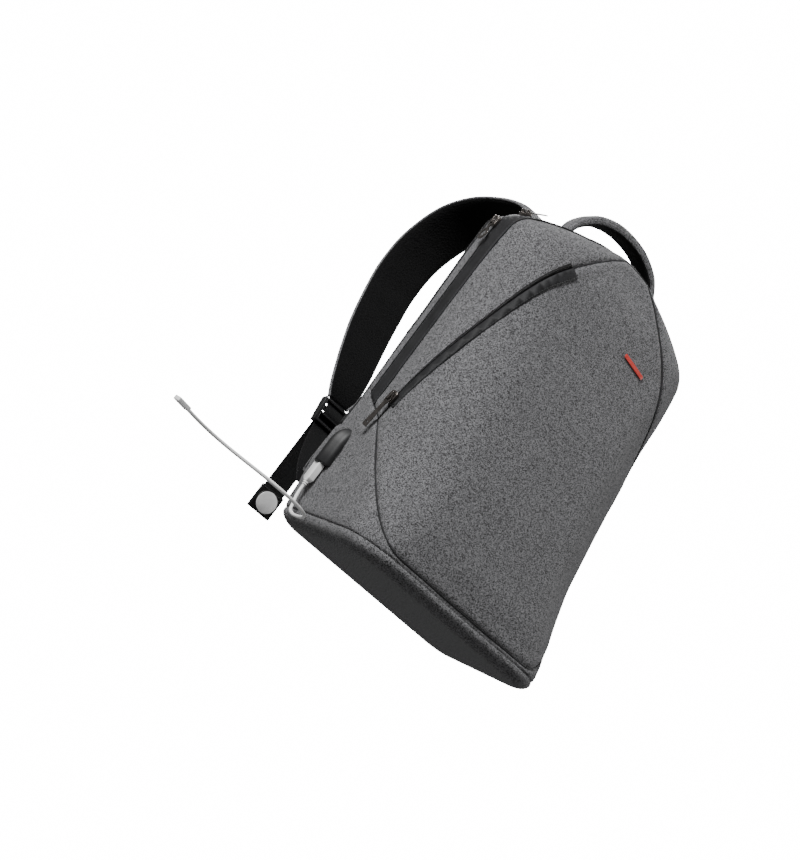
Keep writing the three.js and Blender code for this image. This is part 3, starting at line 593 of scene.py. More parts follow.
def skin_mesh():
    bm = bmesh.new()
    rings = []
    for z in skin_heights():
        rings.append([bm.verts.new(p) for p in Level(z).ring()])
    size = len(rings[0])
    centre = sum((v.co for v in rings[0]), Vector()) / size
    inner = [rings[0]]
    for share in (0.82, 0.62, 0.42, 0.2):
        inner.append([bm.verts.new(centre.lerp(v.co, share)) for v in rings[0]])
    for lower, upper in list(zip(rings, rings[1:])) + list(zip(inner[1:], inner)):
        for j in range(size):
            k = (j + 1) % size
            bm.faces.new((lower[j], lower[k], upper[k], upper[j]))
    bm.faces.new(list(reversed(inner[-1])))
    bm.faces.new(rings[-1])
    bmesh.ops.recalc_face_normals(bm, faces=bm.faces)
    return bm


def side_plane(a, b):
    dy, dz = b[0] - a[0], b[1] - a[1]
    n = math.hypot(dy, dz)
    return Vector((0, a[0], a[1])), Vector((0, -dz / n, dy / n))


def level_plane(z):
    return Vector((0, 0, z)), Vector((0, 0, 1))


def height_of(plane, p):
    return (p - plane[0]).dot(plane[1])


zip_plane = side_plane(ZIP_FOOT, ZIP_TOP)
back_plane = side_plane(BACK_SEAM_FOOT, BACK_SEAM_TOP)
side_seam = side_plane(KNEE, ZIP_FOOT)
toe_seam = side_plane(TOE, KNEE)
fold_start = side_plane(TOE, ZIP_FOOT)
top_seam = (Vector((0, FRONT_Y + TOP_SEAM_INSET, 0)), Vector((0, 1, -LEAN)).normalized())
pocket_seams = [
    (Vector((s * 137, 12, 134)), Vector((s * 0.554, 0.8, 0.23)).normalized()) for s in (-1, 1)
]
base_seam = level_plane(BASE_SEAM_Z)
strip_foot = level_plane(STRIP_FOOT_Z)


def below_seam(p, shift=0.0):
    return height_of(side_seam, p) < shift and height_of(toe_seam, p) < shift


def region_of(p):
    if p.z < BASE_SEAM_Z:
        return "base"
    behind = height_of(back_plane, p)
    if behind < -BACK_STRIP:
        return "rear"
    if behind < 0 and p.z > STRIP_FOOT_Z:
        return "strip"
    if below_seam(p):
        return "lower"
    if height_of(zip_plane, p) < 0:
        return "band"
    if any(height_of(seam, p) > 0 for seam in pocket_seams):
        return "gusset"
    if height_of(top_seam, p) > 0 and p.z > TOP_SEAM_FLOOR_Z:
        return "gusset"
    return "front"


def cut(bm, plane, shift=0.0):
    geometry = bm.verts[:] + bm.edges[:] + bm.faces[:]
    found = bmesh.ops.bisect_plane(
        bm, geom=geometry, dist=0.02, plane_co=plane[0] + plane[1] * shift, plane_no=plane[1],
    )
    return found["geom_cut"]


def line_on_skin(plane, shift, keep):
    """The way a plane crosses the skin, as ordered points with their normals."""
    bm = skin_mesh()
    bm.normal_update()
    edges = [e for e in cut(bm, plane, shift) if isinstance(e, bmesh.types.BMEdge)]
    bm.normal_update()
    edges = [e for e in edges if keep((e.verts[0].co + e.verts[1].co) / 2)]
    around = {}
    for edge in edges:
        a, b = edge.verts
        around.setdefault(a, []).append(b)
        around.setdefault(b, []).append(a)
    ends = [v for v, near in around.items() if len(near) == 1]
    start = min(ends or around, key=lambda v: (round(v.co.x, 1), round(v.co.z, 1)))
    chain, seen = [start], {start}
    while True:
        following = [v for v in around[chain[-1]] if v not in seen]
        if not following:
            break
        chain.append(following[0])
        seen.add(following[0])
    points = [v.co.copy() for v in chain]
    normals = [v.normal.copy() for v in chain]
    bm.free()
    return points, normals


GROOVE_SHIFTS = (-6, -2.6, 0, 2.6, 6)
VISIBLE_SEAMS = [base_seam, side_seam, toe_seam, top_seam, *pocket_seams]


def prepared_skin():
    """The skin with vertex rows along every seam, and the seams pressed in."""
    bm = skin_mesh()
    for plane in VISIBLE_SEAMS:
        for shift in GROOVE_SHIFTS:
            cut(bm, plane, shift)
    for plane, shifts in (
        (back_plane, (-BACK_STRIP - 3, -BACK_STRIP, -BACK_STRIP + 2, -2, 0, 3)),
        (zip_plane, (-2, 0, GUARD_WIDTH, GUARD_WIDTH + 4)),
        (strip_foot, (0,)),
        (fold_start, (FOLD_DEPTH * 0.33, FOLD_DEPTH * 0.66, FOLD_DEPTH)),
    ):
        for shift in shifts:
            cut(bm, plane, shift)
    bm.normal_update()
    region = {f: region_of(f.calc_center_median()) for f in bm.faces}
    points = []
    for edge in bm.edges:
        kinds = {region[f] for f in edge.link_faces}
        if len(kinds) > 1 and kinds != {"band", "gusset"} and kinds != {"band", "front"}:
            a, b = (v.co for v in edge.verts)
            n = max(1, int((b - a).length / 1.5))
            points += [a.lerp(b, i / n) for i in range(n + 1)]
    tree = KDTree(len(points))
    for i, p in enumerate(points):
        tree.insert(p, i)
    tree.balance()
    moves = {}
    for v in bm.verts:
        distance = tree.find(v.co)[2]
        groove = -1.5 * math.exp(-((distance / 2.3) ** 2)) + 0.55 * math.exp(-(((distance - 7) / 5) ** 2))
        slow = noise.noise(v.co * 0.013 + Vector((3.1, 0.7, 5.2)))
        fine = noise.noise(v.co * 0.035)
        sag = 0.9 * slow + 0.35 * fine
        pucker = 0.25 * noise.noise(v.co * 0.16) * math.exp(-distance / 7)
        free = smooth(v.co.z / 20)
        moves[v] = v.normal * (groove + (sag + pucker) * free)
    for v, move in moves.items():
        v.co += move
        v.co.z = max(v.co.z, 0.0)
    return bm, region


def cut_out(bm, chosen, lift):
    """Part of the skin as vertices, moved out by lift along their normals, and faces."""
    bm.normal_update()
    index, verts, faces = {}, [], []
    for face in chosen:
        for v in face.verts:
            if v not in index:
                index[v] = len(verts)
                verts.append(v.co + v.normal * lift)
        faces.append([index[v] for v in face.verts])
    return verts, faces


def thicken(obj, thickness):
    """Thickness inwards from the surface."""
    solid = obj.modifiers.new("thickness", "SOLIDIFY")
    solid.thickness = thickness * MM
    solid.offset = -1
    return solid


SHELL = 2.6  # padded fabric of the panels


def attach(obj, body, slot, *nodes):
    """Ride on a body, or with no body stay where it is, unparented, with its placing baked into the mesh.
    """
    if body:
        return finish_piece(obj, body, slot, *nodes)
    if nodes:
        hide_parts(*nodes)
    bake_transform(obj)
    return obj


def make_panel(kind, name, material, inner, body, slot, nodes, lift):
    verts, faces = cut_out(skin, [face for face, found in regions.items() if found == kind], lift)
    obj = new_object(name, verts, faces, [material, inner])
    solid = thicken(obj, SHELL)
    solid.material_offset = 1
    solid.material_offset_rim = 0
    attach(settle(obj), body, slot, *nodes)


skin, regions = prepared_skin()
for region, name, outer, body, slot, nodes, lift in (
    ("base", "base_skin", HEATHER, "bag", "heather_fabric", ["base_panel"], 0),
    ("lower", "lower_skin", HEATHER, "bag", "heather_fabric", ["lower_body"], 0),
    ("rear", "back_skin", HEATHER, "bag", "heather_fabric", ["back_panel"], 0),
    ("band", "band_skin", HEATHER, "bag", "heather_fabric", ["back_band"], 0),
    ("strip", "edge_binding", TAPE, "bag", "trim_fabric", ["back_edge_strip"], 0.5),
    ("gusset", "gusset_skin", HEATHER, None, "heather_fabric", ["gusset", "fold_band"], 0),
):
    make_panel(region, name, outer, LINING, body, slot, nodes, lift)
# folded down fully, this panel's inner face comes through the outer one, so both have the same fabric
make_panel("front", "front_skin", HEATHER, HEATHER, None, "heather_fabric", ["front_panel"], 0)


# ---- zips ----
def trim_panel(name, planes, keep, lift, thickness, material):
    """A strip of tape lying on the skin, between planes."""
    bm = skin_mesh()
    for plane, shift in planes:
        cut(bm, plane, shift)
    verts, faces = cut_out(bm, [face for face in bm.faces if keep(face.calc_center_median())], lift)
    bm.free()
    obj = new_object(name, verts, faces, [material])
    thicken(obj, thickness)
    return settle(obj)


def on_left(p):
    return p.x < -20


def above_side(p):
    return height_of(side_seam, p) > 1


GUARD_GAP = 0.4  # from the zip's line to its guard
TAPE_NEAR, TAPE_FAR = -0.2, -5.2
POCKET_NEAR, POCKET_FAR = 0.2, 3.9
pocket_left = pocket_seams[0]
guard = trim_panel(
    "zip_guard",
    [(zip_plane, GUARD_GAP), (zip_plane, GUARD_WIDTH - 1.6), (zip_plane, GUARD_WIDTH), (side_seam, 1)],
    lambda p: above_side(p) and GUARD_GAP < height_of(zip_plane, p) < GUARD_WIDTH, 1.7, 1.5, TAPE,
)
attach(guard, None, "trim_fabric", "main_zip_guard")
chain_tape = trim_panel(
    "zip_tape", [(zip_plane, TAPE_NEAR), (zip_plane, TAPE_FAR), (side_seam, 1)],
    lambda p: above_side(p) and TAPE_FAR < height_of(zip_plane, p) < TAPE_NEAR, 0.7, 0.8, WEBBING,
)
finish_piece(chain_tape, "bag", "webbing", "main_zip_chain")


def in_pocket_run(p):
    return on_left(p) and height_of(pocket_ends[0], p) > 0 > height_of(pocket_ends[1], p)


pocket_ends = [
    (Vector((-140.1, 5.3, 149)), Vector((0.05, -0.24, 0.97)).normalized()),
    (Vector((-79.4, -19.4, 383)), Vector((0.49, 0.09, 0.87)).normalized()),
]
pocket_guard = trim_panel(
    "pocket_guard", [(pocket_left, -0.3), (pocket_left, -POCKET_GUARD)] + [(p, 0) for p in pocket_ends],
    lambda p: in_pocket_run(p) and -POCKET_GUARD < height_of(pocket_left, p) < -0.3, 1.7, 1.4, TAPE,
)
attach(pocket_guard, None, "trim_fabric", "pocket_zip_guard")
pocket_tape = trim_panel(
    "pocket_tape", [(pocket_left, POCKET_NEAR), (pocket_left, POCKET_FAR)] + [(p, 0) for p in pocket_ends],
    lambda p: in_pocket_run(p) and POCKET_NEAR < height_of(pocket_left, p) < POCKET_FAR, 0.7, 0.8, WEBBING,
)
attach(pocket_tape, None, "webbing", "pocket_zip_chain")


def coil(name, plane, shift, keep, width, lift, body):
    """The zip's coil: one bar of thread for each turn."""
    points, normals = line_on_skin(plane, shift, keep)
    path = resample(points, normals, 1.5)
    places = [(p + n * lift, n.cross(t).normalized(), n) for p, t, n in path]
    obj = bars(name, places, width, 1.0, 0.9, NYLON)
    return attach(obj, body, "webbing")


coil("zip_coil", zip_plane, -2.6, above_side, 3.2, 0.7, "bag")
coil("pocket_coil", pocket_left, 1.9, in_pocket_run, 2.6, 0.7, None)


def stitched(name, plane, shift, keep, lift, body):
    points, normals = line_on_skin(plane, shift, keep)
    path = [(p + n * lift, t, n) for p, t, n in resample(points, normals, 3.4)]
    obj = bars(name, path, 2.3, 0.55, 0.3, THREAD)
    return attach(obj, body, "webbing")


stitched("guard_stitch", zip_plane, GUARD_WIDTH - 1.4, above_side, 1.72, None)
stitched("guard_stitch_rear", zip_plane, 2.2, above_side, 1.72, None)
stitched("pocket_stitch", pocket_left, -POCKET_GUARD + 1.2, in_pocket_run, 1.72, None)


def above_strip(p):
    return p.z > STRIP_FOOT_Z + 2


stitched("binding_stitch", back_plane, -1.6, above_strip, 0.7, "bag")
stitched("binding_stitch_rear", back_plane, 1.6 - BACK_STRIP, above_strip, 0.7, "bag")


def seam_cord(name, plane, keep, radius, sink, body):
    """The dark turned edge that shows along a seam."""
    points, normals = line_on_skin(plane, 0, keep)
    line = [p - n * sink for p, n in zip(points, normals)]
    line = [p for i, p in enumerate(line) if i == 0 or (p - line[i - 1]).length > 0.4]
    frames = []
    for tangent, normal in zip(tangents(line), normals):
        side = normal.cross(tangent).normalized()
        frames.append((side, tangent.cross(side).normalized()))
    obj = sweep(name, line, frames, [circle(radius, 8)] * len(line), [TAPE])
    return attach(obj, body, "trim_fabric")


def above_seams(p):
    return not below_seam(p) and height_of(zip_plane, p) > GUARD_WIDTH and p.z > BASE_SEAM_Z


def between_pockets(p):
    inside = all(height_of(seam, p) < 0 for seam in pocket_seams)
    return inside and p.z > TOP_SEAM_FLOOR_Z


seam_cord("seam_left", pocket_left, lambda p: on_left(p) and above_seams(p), 0.9, 0.9, None)
seam_cord("seam_right", pocket_seams[1], lambda p: p.x > 20 and above_seams(p), 1.1, 0.7, None)
seam_cord("seam_top", top_seam, between_pockets, 1.0, 0.7, None)
for seam_side, seam_sign in (("left", -1), ("right", 1)):
    seam_cord(
        f"seam_knee_{seam_side}", side_seam,
        lambda p: p.x * seam_sign > 20 and height_of(toe_seam, p) < 0 and height_of(zip_plane, p) > 0,
        0.8, 0.8, "bag",
    )
seam_cord(
    "seam_toe", toe_seam,
    lambda p: height_of(side_seam, p) < 0 and p.z > BASE_SEAM_Z and p.y < 40, 0.8, 0.8, "bag",
)


# ---- straps, handle and webbing ----
def smooth_stops(stops, spacing):
    """Evenly smoothed (centre, width, thickness) along stops of (x, y, z, width, thickness)."""
    out = []
    pts = [Vector(s[:3]) for s in stops]
    pts = [pts[0] * 2 - pts[1], *pts, pts[-1] * 2 - pts[-2]]
    for i in range(len(stops) - 1):
        a, b, c, d = pts[i:i + 4]
        n = max(1, round((c - b).length / spacing))
        for k in range(n + (i == len(stops) - 2)):
            t = k / n
            centre = curve_point(a, b, c, d, t)
            width = stops[i][3] + (stops[i + 1][3] - stops[i][3]) * t
            thick = stops[i][4] + (stops[i + 1][4] - stops[i][4]) * t
            out.append((centre, width, thick))
    return out


def frames_along(centres, wide):
    frames = []
    for tangent in tangents(centres):
        side = (wide - tangent * wide.dot(tangent)).normalized()
        frames.append((side, side.cross(tangent).normalized()))
    return frames


def pillow_profile(width, thick, corners=28, squareness=0.55, crown=0.7):
    points = []
    for i in range(corners):
        angle = 2 * math.pi * (i + 0.5) / corners
        c, s = math.cos(angle), math.sin(angle)
        points.append((
            math.copysign(abs(c) ** squareness, c) * width / 2,
            math.copysign(abs(s) ** crown, s) * thick / 2,
        ))
    return points


def webbing_profile(width, thick):
    """Flat band with slightly thicker selvages."""
    w, h, edge = width / 2, thick / 2, 1.4
    top = [(-w, 0), (-w + 0.5, h), (-w + edge, h), (-w + edge + 0.6, h * 0.7)]
    top += [(0, h * 0.78), (w - edge - 0.6, h * 0.7), (w - edge, h), (w - 0.5, h), (w, 0)]
    return top + [(u, -v) for u, v in top[-2:0:-1]]


def band(name, stops, wide, body, slot, material, nodes=(), spacing=3.0):
    run = smooth_stops(stops, spacing)
    centres = [r[0] for r in run]
    profiles = [webbing_profile(w, t) for _, w, t in run]
    obj = sweep(name, centres, frames_along(centres, wide), profiles, [material])
    return finish_piece(obj, body, slot, *nodes)


def tube_along(name, centres, radius, material, body, slot, sides=10):
    frames = frames_along(centres, Vector((0.31, 0.37, 0.87)))
    obj = sweep(name, centres, frames, [circle(radius, sides)] * len(centres), [material])
    if body:
        finish_piece(obj, body, slot)
    return obj


X = Vector((1, 0, 0))
Y = Vector((0, 1, 0))
STRAP_STOPS = [
    (45, 96.8, 404, 66, 5), (46, 103.5, 417, 66, 7),
    (49, 124, 446, 66, 10), (54, 162, 467, 66, 12), (61, 211, 472, 66, 13),
    (72, 254, 461, 66, 13), (83, 284, 434, 65, 13), (93, 295, 388, 64, 13), (100, 284, 338, 63, 13),
    (104, 262, 292, 61, 12), (107, 237, 248, 58, 12), (108, 211, 206, 52, 11), (108, 192, 172, 42, 8),
    (107.5, 185.5, 154.5, 30, 3),
]
TAIL_X, TAIL_Y, TAIL_LOW, TAIL_HIGH = 106, 184, 30, 123
DISC_Z, DISC_R, TAB_THICK = 18, 12.5, 6
RIGHT_TAIL_LIFT = 32


def mirrored(stops, sign):
    return [(sign * s[0], *s[1:]) for s in stops]


def shoulder_strap(side, sign):
    stops = mirrored(STRAP_STOPS, sign)
    run = smooth_stops(stops, 4)
    centres = [r[0] for r in run]
    frames = frames_along(centres, X)
    profiles = []
    for i, (_, width, thick) in enumerate(run):
        ripple = 1 + 0.05 * math.cos(i * 4 / 46 * 2 * math.pi)
        profiles.append(pillow_profile(width - 2, thick * ripple))
    corners = len(profiles[0])
    pad = sweep(
        f"strap_pad_{side}", centres, frames, profiles, [AIR_MESH, HEATHER],
        pick=lambda j: 1 if j < corners // 2 else 0,
    )
    finish_piece(pad, "bag", "mesh_fabric", f"shoulder_strap_{side}")
    for edge, name in ((-1, "a"), (1, "b")):
        line = [
            c + f[0] * (edge * (w / 2 - 1.1)) for c, f, (_, w, t) in zip(centres, frames, run)
        ]
        tube_along(f"strap_piping_{side}_{name}", line, 1.7, RIM_HEATHER, "bag", "heather_fabric")
    first = len(centres) // 4
    path = []
    for i in range(first, len(centres) - 1):
        c, (across, out), (_, w, t) = centres[i], frames[i], run[i]
        path.append((c + out * (t / 2 + 0.7), across, out))
    profile = [webbing_profile(24, 1.5)] * len(path)
    finish_piece(
        sweep(
            f"strap_webbing_{side}", [p[0] for p in path], [(p[1], p[2]) for p in path], profile, [WEBBING],
        ), "bag", "webbing",
    )
    for edge, name in ((-10, "a"), (10, "b")):
        points = [p + across * edge + out * 0.8 for p, across, out in path]
        rows = resample(points, [p[2] for p in path], 3.6)
        finish_piece(bars(f"strap_stitch_{side}_{name}", rows, 2.4, 0.6, 0.35, THREAD), "bag", "webbing")


def strap_hardware(side, sign):
    body = f"tail_{side}"
    hardware(f"ladder_lock_{side}", "bag", "plastic", NYLON, 0.8, 3)
    feed = [
        (107.5, 187, 162, 25, 1.6), (107.3, 184.5, 152, 25, 1.6), (107, 181.5, 146, 25, 1.6),
        (107, 177.5, 141.5, 25, 1.6), (107, 175.4, 136, 25, 1.6), (107, 177.5, 130.5, 25, 1.6),
        (106.6, 181.5, 126.5, 25, 1.6), (106, 183.6, 122, 25, 1.6), (106, 184, 119, 25, 1.6),
    ]
    band(f"lock_feed_{side}", mirrored(feed, sign), X, "bag", "webbing", WEBBING, spacing=1.5)
    anchor = [
        (108.6, 178.6, 127, 25, 1.7), (109.2, 175, 119.5, 25, 1.7), (112, 158, 93, 25, 1.7),
        (115, 132, 66, 25, 1.7), (117, 108, 50, 25, 1.7), (118, 101, 45, 25, 1.7),
    ]
    band(
        f"anchor_band_{side}", mirrored(anchor, sign), X, "bag", "webbing", WEBBING,
        [f"anchor_webbing_{side}"],
    )
    wing_piece(side, sign)
    x = sign * TAIL_X
    lift = RIGHT_TAIL_LIFT if sign > 0 else 0
    low = TAIL_LOW + lift
    tail = [(x, TAIL_Y, low + (TAIL_HIGH - low) * share, 28, 1.8) for share in (1, 0.75, 0.5, 0.25, 0)]
    band(f"tail_band_{side}", tail, X, body, "webbing", WEBBING, [f"strap_tail_{side}"])
    hardware(f"tail_tab_{side}", body, "webbing", WEBBING, 1.1, 3)
    hardware(f"tail_disc_{side}", body, "reflector", REFLECTOR, 0.4, 2)
    face_y = TAIL_Y - TAB_THICK / 2 - 0.5
    ring = [
        Vector((x + (DISC_R + 0.5) * math.cos(a), face_y, DISC_Z + lift + (DISC_R + 0.5) * math.sin(a)))
        for a in full_turn(48)
    ]
    tube_along(f"disc_rim_{side}", ring, 0.8, NYLON, body, "plastic", 8)
    corners = [(-12.5, 31 + lift), (12.5, 31 + lift)]
    rows = resample([Vector((x + a, face_y + 0.3, z)) for a, z in corners], [Vector((0, -1, 0))] * 2, 3)
    finish_piece(bars(f"tab_stitch_{side}", rows, 2, 0.7, 0.4, THREAD), body, "webbing")


def wing_piece(side, sign):
    """The sewn fabric wing that carries the lower strap."""
    outline = [(131, 88, 22), (134, 90, 104), (127, 108, 92), (118, 127, 64), (112, 118, 50)]
    front, back = [], []
    for x, y, z in outline:
        front.append(Vector((sign * x, y, z)))
        back.append(Vector((sign * (x - 5.5), y + 3.2, z)))
    n = len(outline)
    faces = [tuple(range(n)), tuple(reversed(range(n, 2 * n)))]
    faces += [(i, (i + 1) % n, n + (i + 1) % n, n + i) for i in range(n)]
    obj = face_outward(new_object(f"strap_wing_{side}", front + back, faces, [HEATHER]))
    round_edges(obj, 1.3, 3)
    finish_piece(settle(obj), "bag", "heather_fabric")
    edge = catmull(front[1:5], 4)
    tube_along(f"wing_piping_{side}", edge, 1.3, RIM_HEATHER, "bag", "heather_fabric", 8)


for side_name, side_sign in (("left", -1), ("right", 1)):
    shoulder_strap(side_name, side_sign)
    strap_hardware(side_name, side_sign)

YOKE_EDGE = -BACK_STRIP - 2
YOKE_LOW, YOKE_HIGH = 399, 430
yoke = trim_panel(
    "strap_yoke",
    [(back_plane, YOKE_EDGE), (level_plane(YOKE_LOW), 0), (level_plane(YOKE_HIGH), 0)],
    lambda p: height_of(back_plane, p) < YOKE_EDGE and YOKE_LOW < p.z < YOKE_HIGH, 2.4, 2.2, HEATHER,
)
finish_piece(yoke, "bag", "heather_fabric")

HANDLE_Y, HANDLE_ROOT_X, HANDLE_ROOT_Z, HANDLE_CREST = 65, 70, 441.6, 488.5
HANDLE_SHAPE = [
    (1.04, -0.1, 22, 6), (1, 0.02, 23, 6.5), (0.92, 0.33, 24, 9.5), (0.69, 0.71, 26, 12),
    (0.35, 0.94, 26, 13),
]


def make_handle():
    rise = HANDLE_CREST - HANDLE_ROOT_Z
    half = [(s * HANDLE_ROOT_X, HANDLE_Y, HANDLE_ROOT_Z + r * rise, w, t) for s, r, w, t in HANDLE_SHAPE]
    stops = mirrored(half, -1) + [(0, HANDLE_Y, HANDLE_CREST, 26, 13)] + half[::-1]
    run = smooth_stops(stops, 2.5)
    centres = [r[0] for r in run]
    frames = frames_along(centres, Y)
    profiles = [pillow_profile(w, t, 24, 0.42, 0.6) for _, w, t in run]
    handle = sweep(
        "handle_pad", centres, frames, profiles, [HEATHER, WEBBING],
        pick=lambda j: 1 if 2 <= j < 10 else 0,
    )
    pieces = [handle]
    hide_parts("carry_handle")
    for edge, name in ((-1, "front"), (1, "rear")):
        line = [c + f[0] * (edge * (w / 2 - 0.9)) for c, f, (_, w, t) in zip(centres, frames, run)]
        pieces.append(tube_along(f"handle_piping_{name}", line, 1.1, RIM_HEATHER, None, "heather_fabric"))
        inner = [
            c + f[0] * (edge * (w / 2 - 4)) - f[1] * (t * 0.47)
            for c, f, (_, w, t) in zip(centres, frames, run)
        ]
        rows = resample(inner[4:-4], [-f[1] for f in frames[4:-4]], 3.4)
        pieces.append(bars(f"handle_stitch_{name}", rows, 2.2, 0.6, 0.35, THREAD))
    for piece in pieces:
        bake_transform(piece)


make_handle()
for side_name in ("left", "right"):
    hardware(f"handle_patch_{side_name}", "bag", "heather_fabric", HEATHER, 0.4, 2)


# ---- back pads, puffed by cloth simulation ----
def pad_mesh(name, cx, cz, width, height, radius, low, high):
    rows, columns = 30, 18
    verts, faces = [], []
    for layer in (low, high):
        for i in range(rows + 1):
            t = -math.cos(math.pi * i / rows)
            z = cz + t * height / 2
            over = abs(z - cz) - (height / 2 - radius)
            half = width / 2
            if over > 0:
                half -= radius - math.sqrt(max(radius ** 2 - over ** 2, 0))
            level = Level(z)
            for j in range(columns + 1):
                x = cx + max(half, 2) * math.sin(math.pi / 2 * (2 * j / columns - 1))
                verts.append(Vector((x, level.back_at(x) + layer, z)))
    size = columns + 1
    count = (rows + 1) * size
    for i in range(rows):
        for j in range(columns):
            a, b = i * size + j, (i + 1) * size + j
            faces.append((a, b, b + 1, a + 1))
            faces.append((count + a, count + a + 1, count + b + 1, count + b))
    rim = [j for j in range(size)] + [i * size + columns for i in range(1, rows + 1)]
    rim += [rows * size + j for j in range(columns - 1, -1, -1)]
    rim += [i * size for i in range(rows - 1, 0, -1)]
    for a, b in zip(rim, rim[1:] + rim[:1]):
        faces.append((a, b, count + b, count + a))
    obj = face_outward(new_object(name, verts, faces, [AIR_MESH]))
    return obj, [verts[count + k] for k in rim]


VOXEL, PRESSURE, SWELL_LIMIT, SWELL_FRAMES = 5.0, 4.0, 5.0, 20
CUSHION_LIMIT = 12.5  # how far a cushion stands off the back


def puff(obj):
    """Remesh, swell under pressure with capped movement, and apply."""
    remesh = obj.modifiers.new("remesh", "REMESH")
    remesh.mode = "VOXEL"
    remesh.voxel_size = VOXEL * MM
    settle(obj)
    rest = [v.co.copy() for v in obj.data.vertices]
    cloth = obj.modifiers.new("cloth", "CLOTH")
    cloth.settings.use_pressure = True
    cloth.settings.uniform_pressure_force = PRESSURE
    cloth.settings.effector_weights.gravity = 0
    cloth.settings.quality = 5
    cloth.point_cache.frame_start = 1
    cloth.point_cache.frame_end = SWELL_FRAMES
    scene = bpy.context.scene
    for step in range(1, SWELL_FRAMES + 1):
        scene.frame_set(step)
    settle(obj)
    scene.frame_set(1)
    for vertex, before in zip(obj.data.vertices, rest):
        move = vertex.co - before
        if move.length > SWELL_LIMIT * MM:
            vertex.co = before + move.normalized() * SWELL_LIMIT * MM


def subdivide(obj):
    subdivision = obj.modifiers.new("subdivision", "SUBSURF")
    subdivision.levels = 1
    subdivision.render_levels = 1
    settle(obj)


def back_pad(name, node, cx, cz, width, height, radius, channels):
    obj, rim = pad_mesh(name, cx, cz, width - 7, height - 7, radius - 3, 1.4, 5.4)
    puff(obj)
    subdivide(obj)
    levels = {}
    for vertex in obj.data.vertices:
        x, y, z = (c / MM for c in vertex.co)
        key = round(z)
        level = levels.setdefault(key, Level(key))
        floor = level.back_at(x)
        rise = max(y - floor, 0.4)
        for at in channels:
            near = math.exp(-(((z - at) / 4.2) ** 2))
            rise *= 1 - 0.55 * near
        vertex.co.y = (floor + min(rise, CUSHION_LIMIT)) * MM
    obj.data.polygons.foreach_set("use_smooth", [True] * len(obj.data.polygons))
    obj.data.update()
    finish_piece(obj, "bag", "mesh_fabric", node)
    outline = []
    for p in rim:
        out = (Vector((p.x, 0, p.z)) - Vector((cx, 0, cz))).normalized() * 2.6
        outline.append(Vector((p.x + out.x, Level(p.z).back_at(p.x + out.x) + 1.6, p.z + out.z)))
    outline.append(outline[0].copy())
    tube_along(f"{name}_piping", outline, 1.5, TAPE, "bag", "trim_fabric", 8)


for side_name, side_sign in (("left", -1), ("right", 1)):
    back_pad(
        f"back_cushion_{side_name}", f"back_pad_{side_name}", side_sign * 57, 283, 94, 232, 26,
        (215, 260, 305, 350),
    )
back_pad("lumbar_cushion", "lumbar_pad", 0, 92, 214, 92, 30, (92,))


# ---- side socket ----
def make_pod():
    profile = [(-3, -13), (3, -13), (6.5, -11.6), (9.5, -8.3), (12.4, -5.0), (13.6, -2.6), (13.2, 0.2)]
    profile += [(11.6, 4.2), (9.2, 8.4), (6, 11.8), (2.5, 13), (-3, 13)]
    dense = catmull([(o, y, 0) for o, y in profile], 1.2)
    stations = [
        (66, 0.93, 0.6), (66.5, 0.98, 0.1), (67.3, 1, 0), (80, 1, 0), (92, 1, 0), (98, 0.965, 0.3),
        (103, 0.9, 0.9), (107, 0.8, 1.8), (110, 0.68, 2.9), (112, 0.56, 3.6), (113, 0.42, 4.4),
    ]
    verts = []
    for z, grow, shift in stations:
        for p in dense:
            out = max(p.x * grow - shift, -3)
            verts.append(Vector((POD_WALL_X - out, POD_Y + p.y * grow, z)))
    faces = tube_faces(len(stations), len(dense))
    obj = face_outward(new_object("socket_cover", verts, faces, [RUBBER]))
    finish_piece(obj, "bag", "rubber", "usb_pod")
    ridge = [
        Vector((POD_WALL_X - 13.3 * g + s, POD_Y - 2.4 * g, z)) for z, g, s in stations[2:9]
    ]
    tube_along("socket_ridge", catmull(ridge, 2), 0.55, TAPE, "bag", "trim_fabric", 8)
    flange = [
        Vector((POD_WALL_X - 0.3, POD_Y + 14.4 * math.cos(a), 90 + 25 * math.sin(a)))
        for a in full_turn(48)
    ]
    tube_along("socket_flange", flange, 1.2, TAPE, "bag", "trim_fabric", 8)


make_pod()


# ---- plug relief: ribs on the moulded neck ----
for rib in range(3):
    z = 43.6 - rib * 2.1
    grow = 3.3 - rib * 0.45
    loop = [
        Vector((SOCKET_X + grow * math.cos(a) * 0.8, POD_Y + grow * math.sin(a) * 1.1, z))
        for a in full_turn(20)
    ]
    tube_along(f"plug_rib_{rib}", loop, 0.75, WHITE, "bag", "white_plastic", 8)

# ---- label, sliders and pullers ----
hardware("label_bar", "front_flap", "label_red", RED, 0.25, 2)
for slider in ("main_slider_left", "main_slider_top", "pocket_slider"):
    hardware(slider, slider, "zip_metal", ZIP_METAL, 0.35, 2)
    hardware(f"{slider}_puller", f"{slider}_puller", "zip_metal", ZIP_METAL, 0.3, 2)

# ---- inside ----
for node, node_body, rounded, steps in (
    ("laptop_divider", "bag", 1.4, 3), ("pocket_lining", "front_flap", 0.4, 2),
    ("power_bank_pocket", "bag", 0.5, 2),
):
    hardware(node, node_body, "lining_fabric", LINING, rounded, steps)
hardware("power_bank", "bag", "bank_shell", BANK, 2.2, 4)
lead_plug = hardware("lead_plug", "bag", "plastic", NYLON, 1.0, 3)
lead, lead_length = cable_curve("power_lead_flex", LEAD_ROUTE[::-1], LEAD_RADIUS, NYLON)
finish_piece(lead, "bag", "plastic", "power_lead")


# ---- floor and light ----
BACKDROP = 16.0  # how bright the plain backdrop looks
FLOOR_SIZE = 10
FADE_START = 0.9  # distance from the bag at which the floor starts to glow


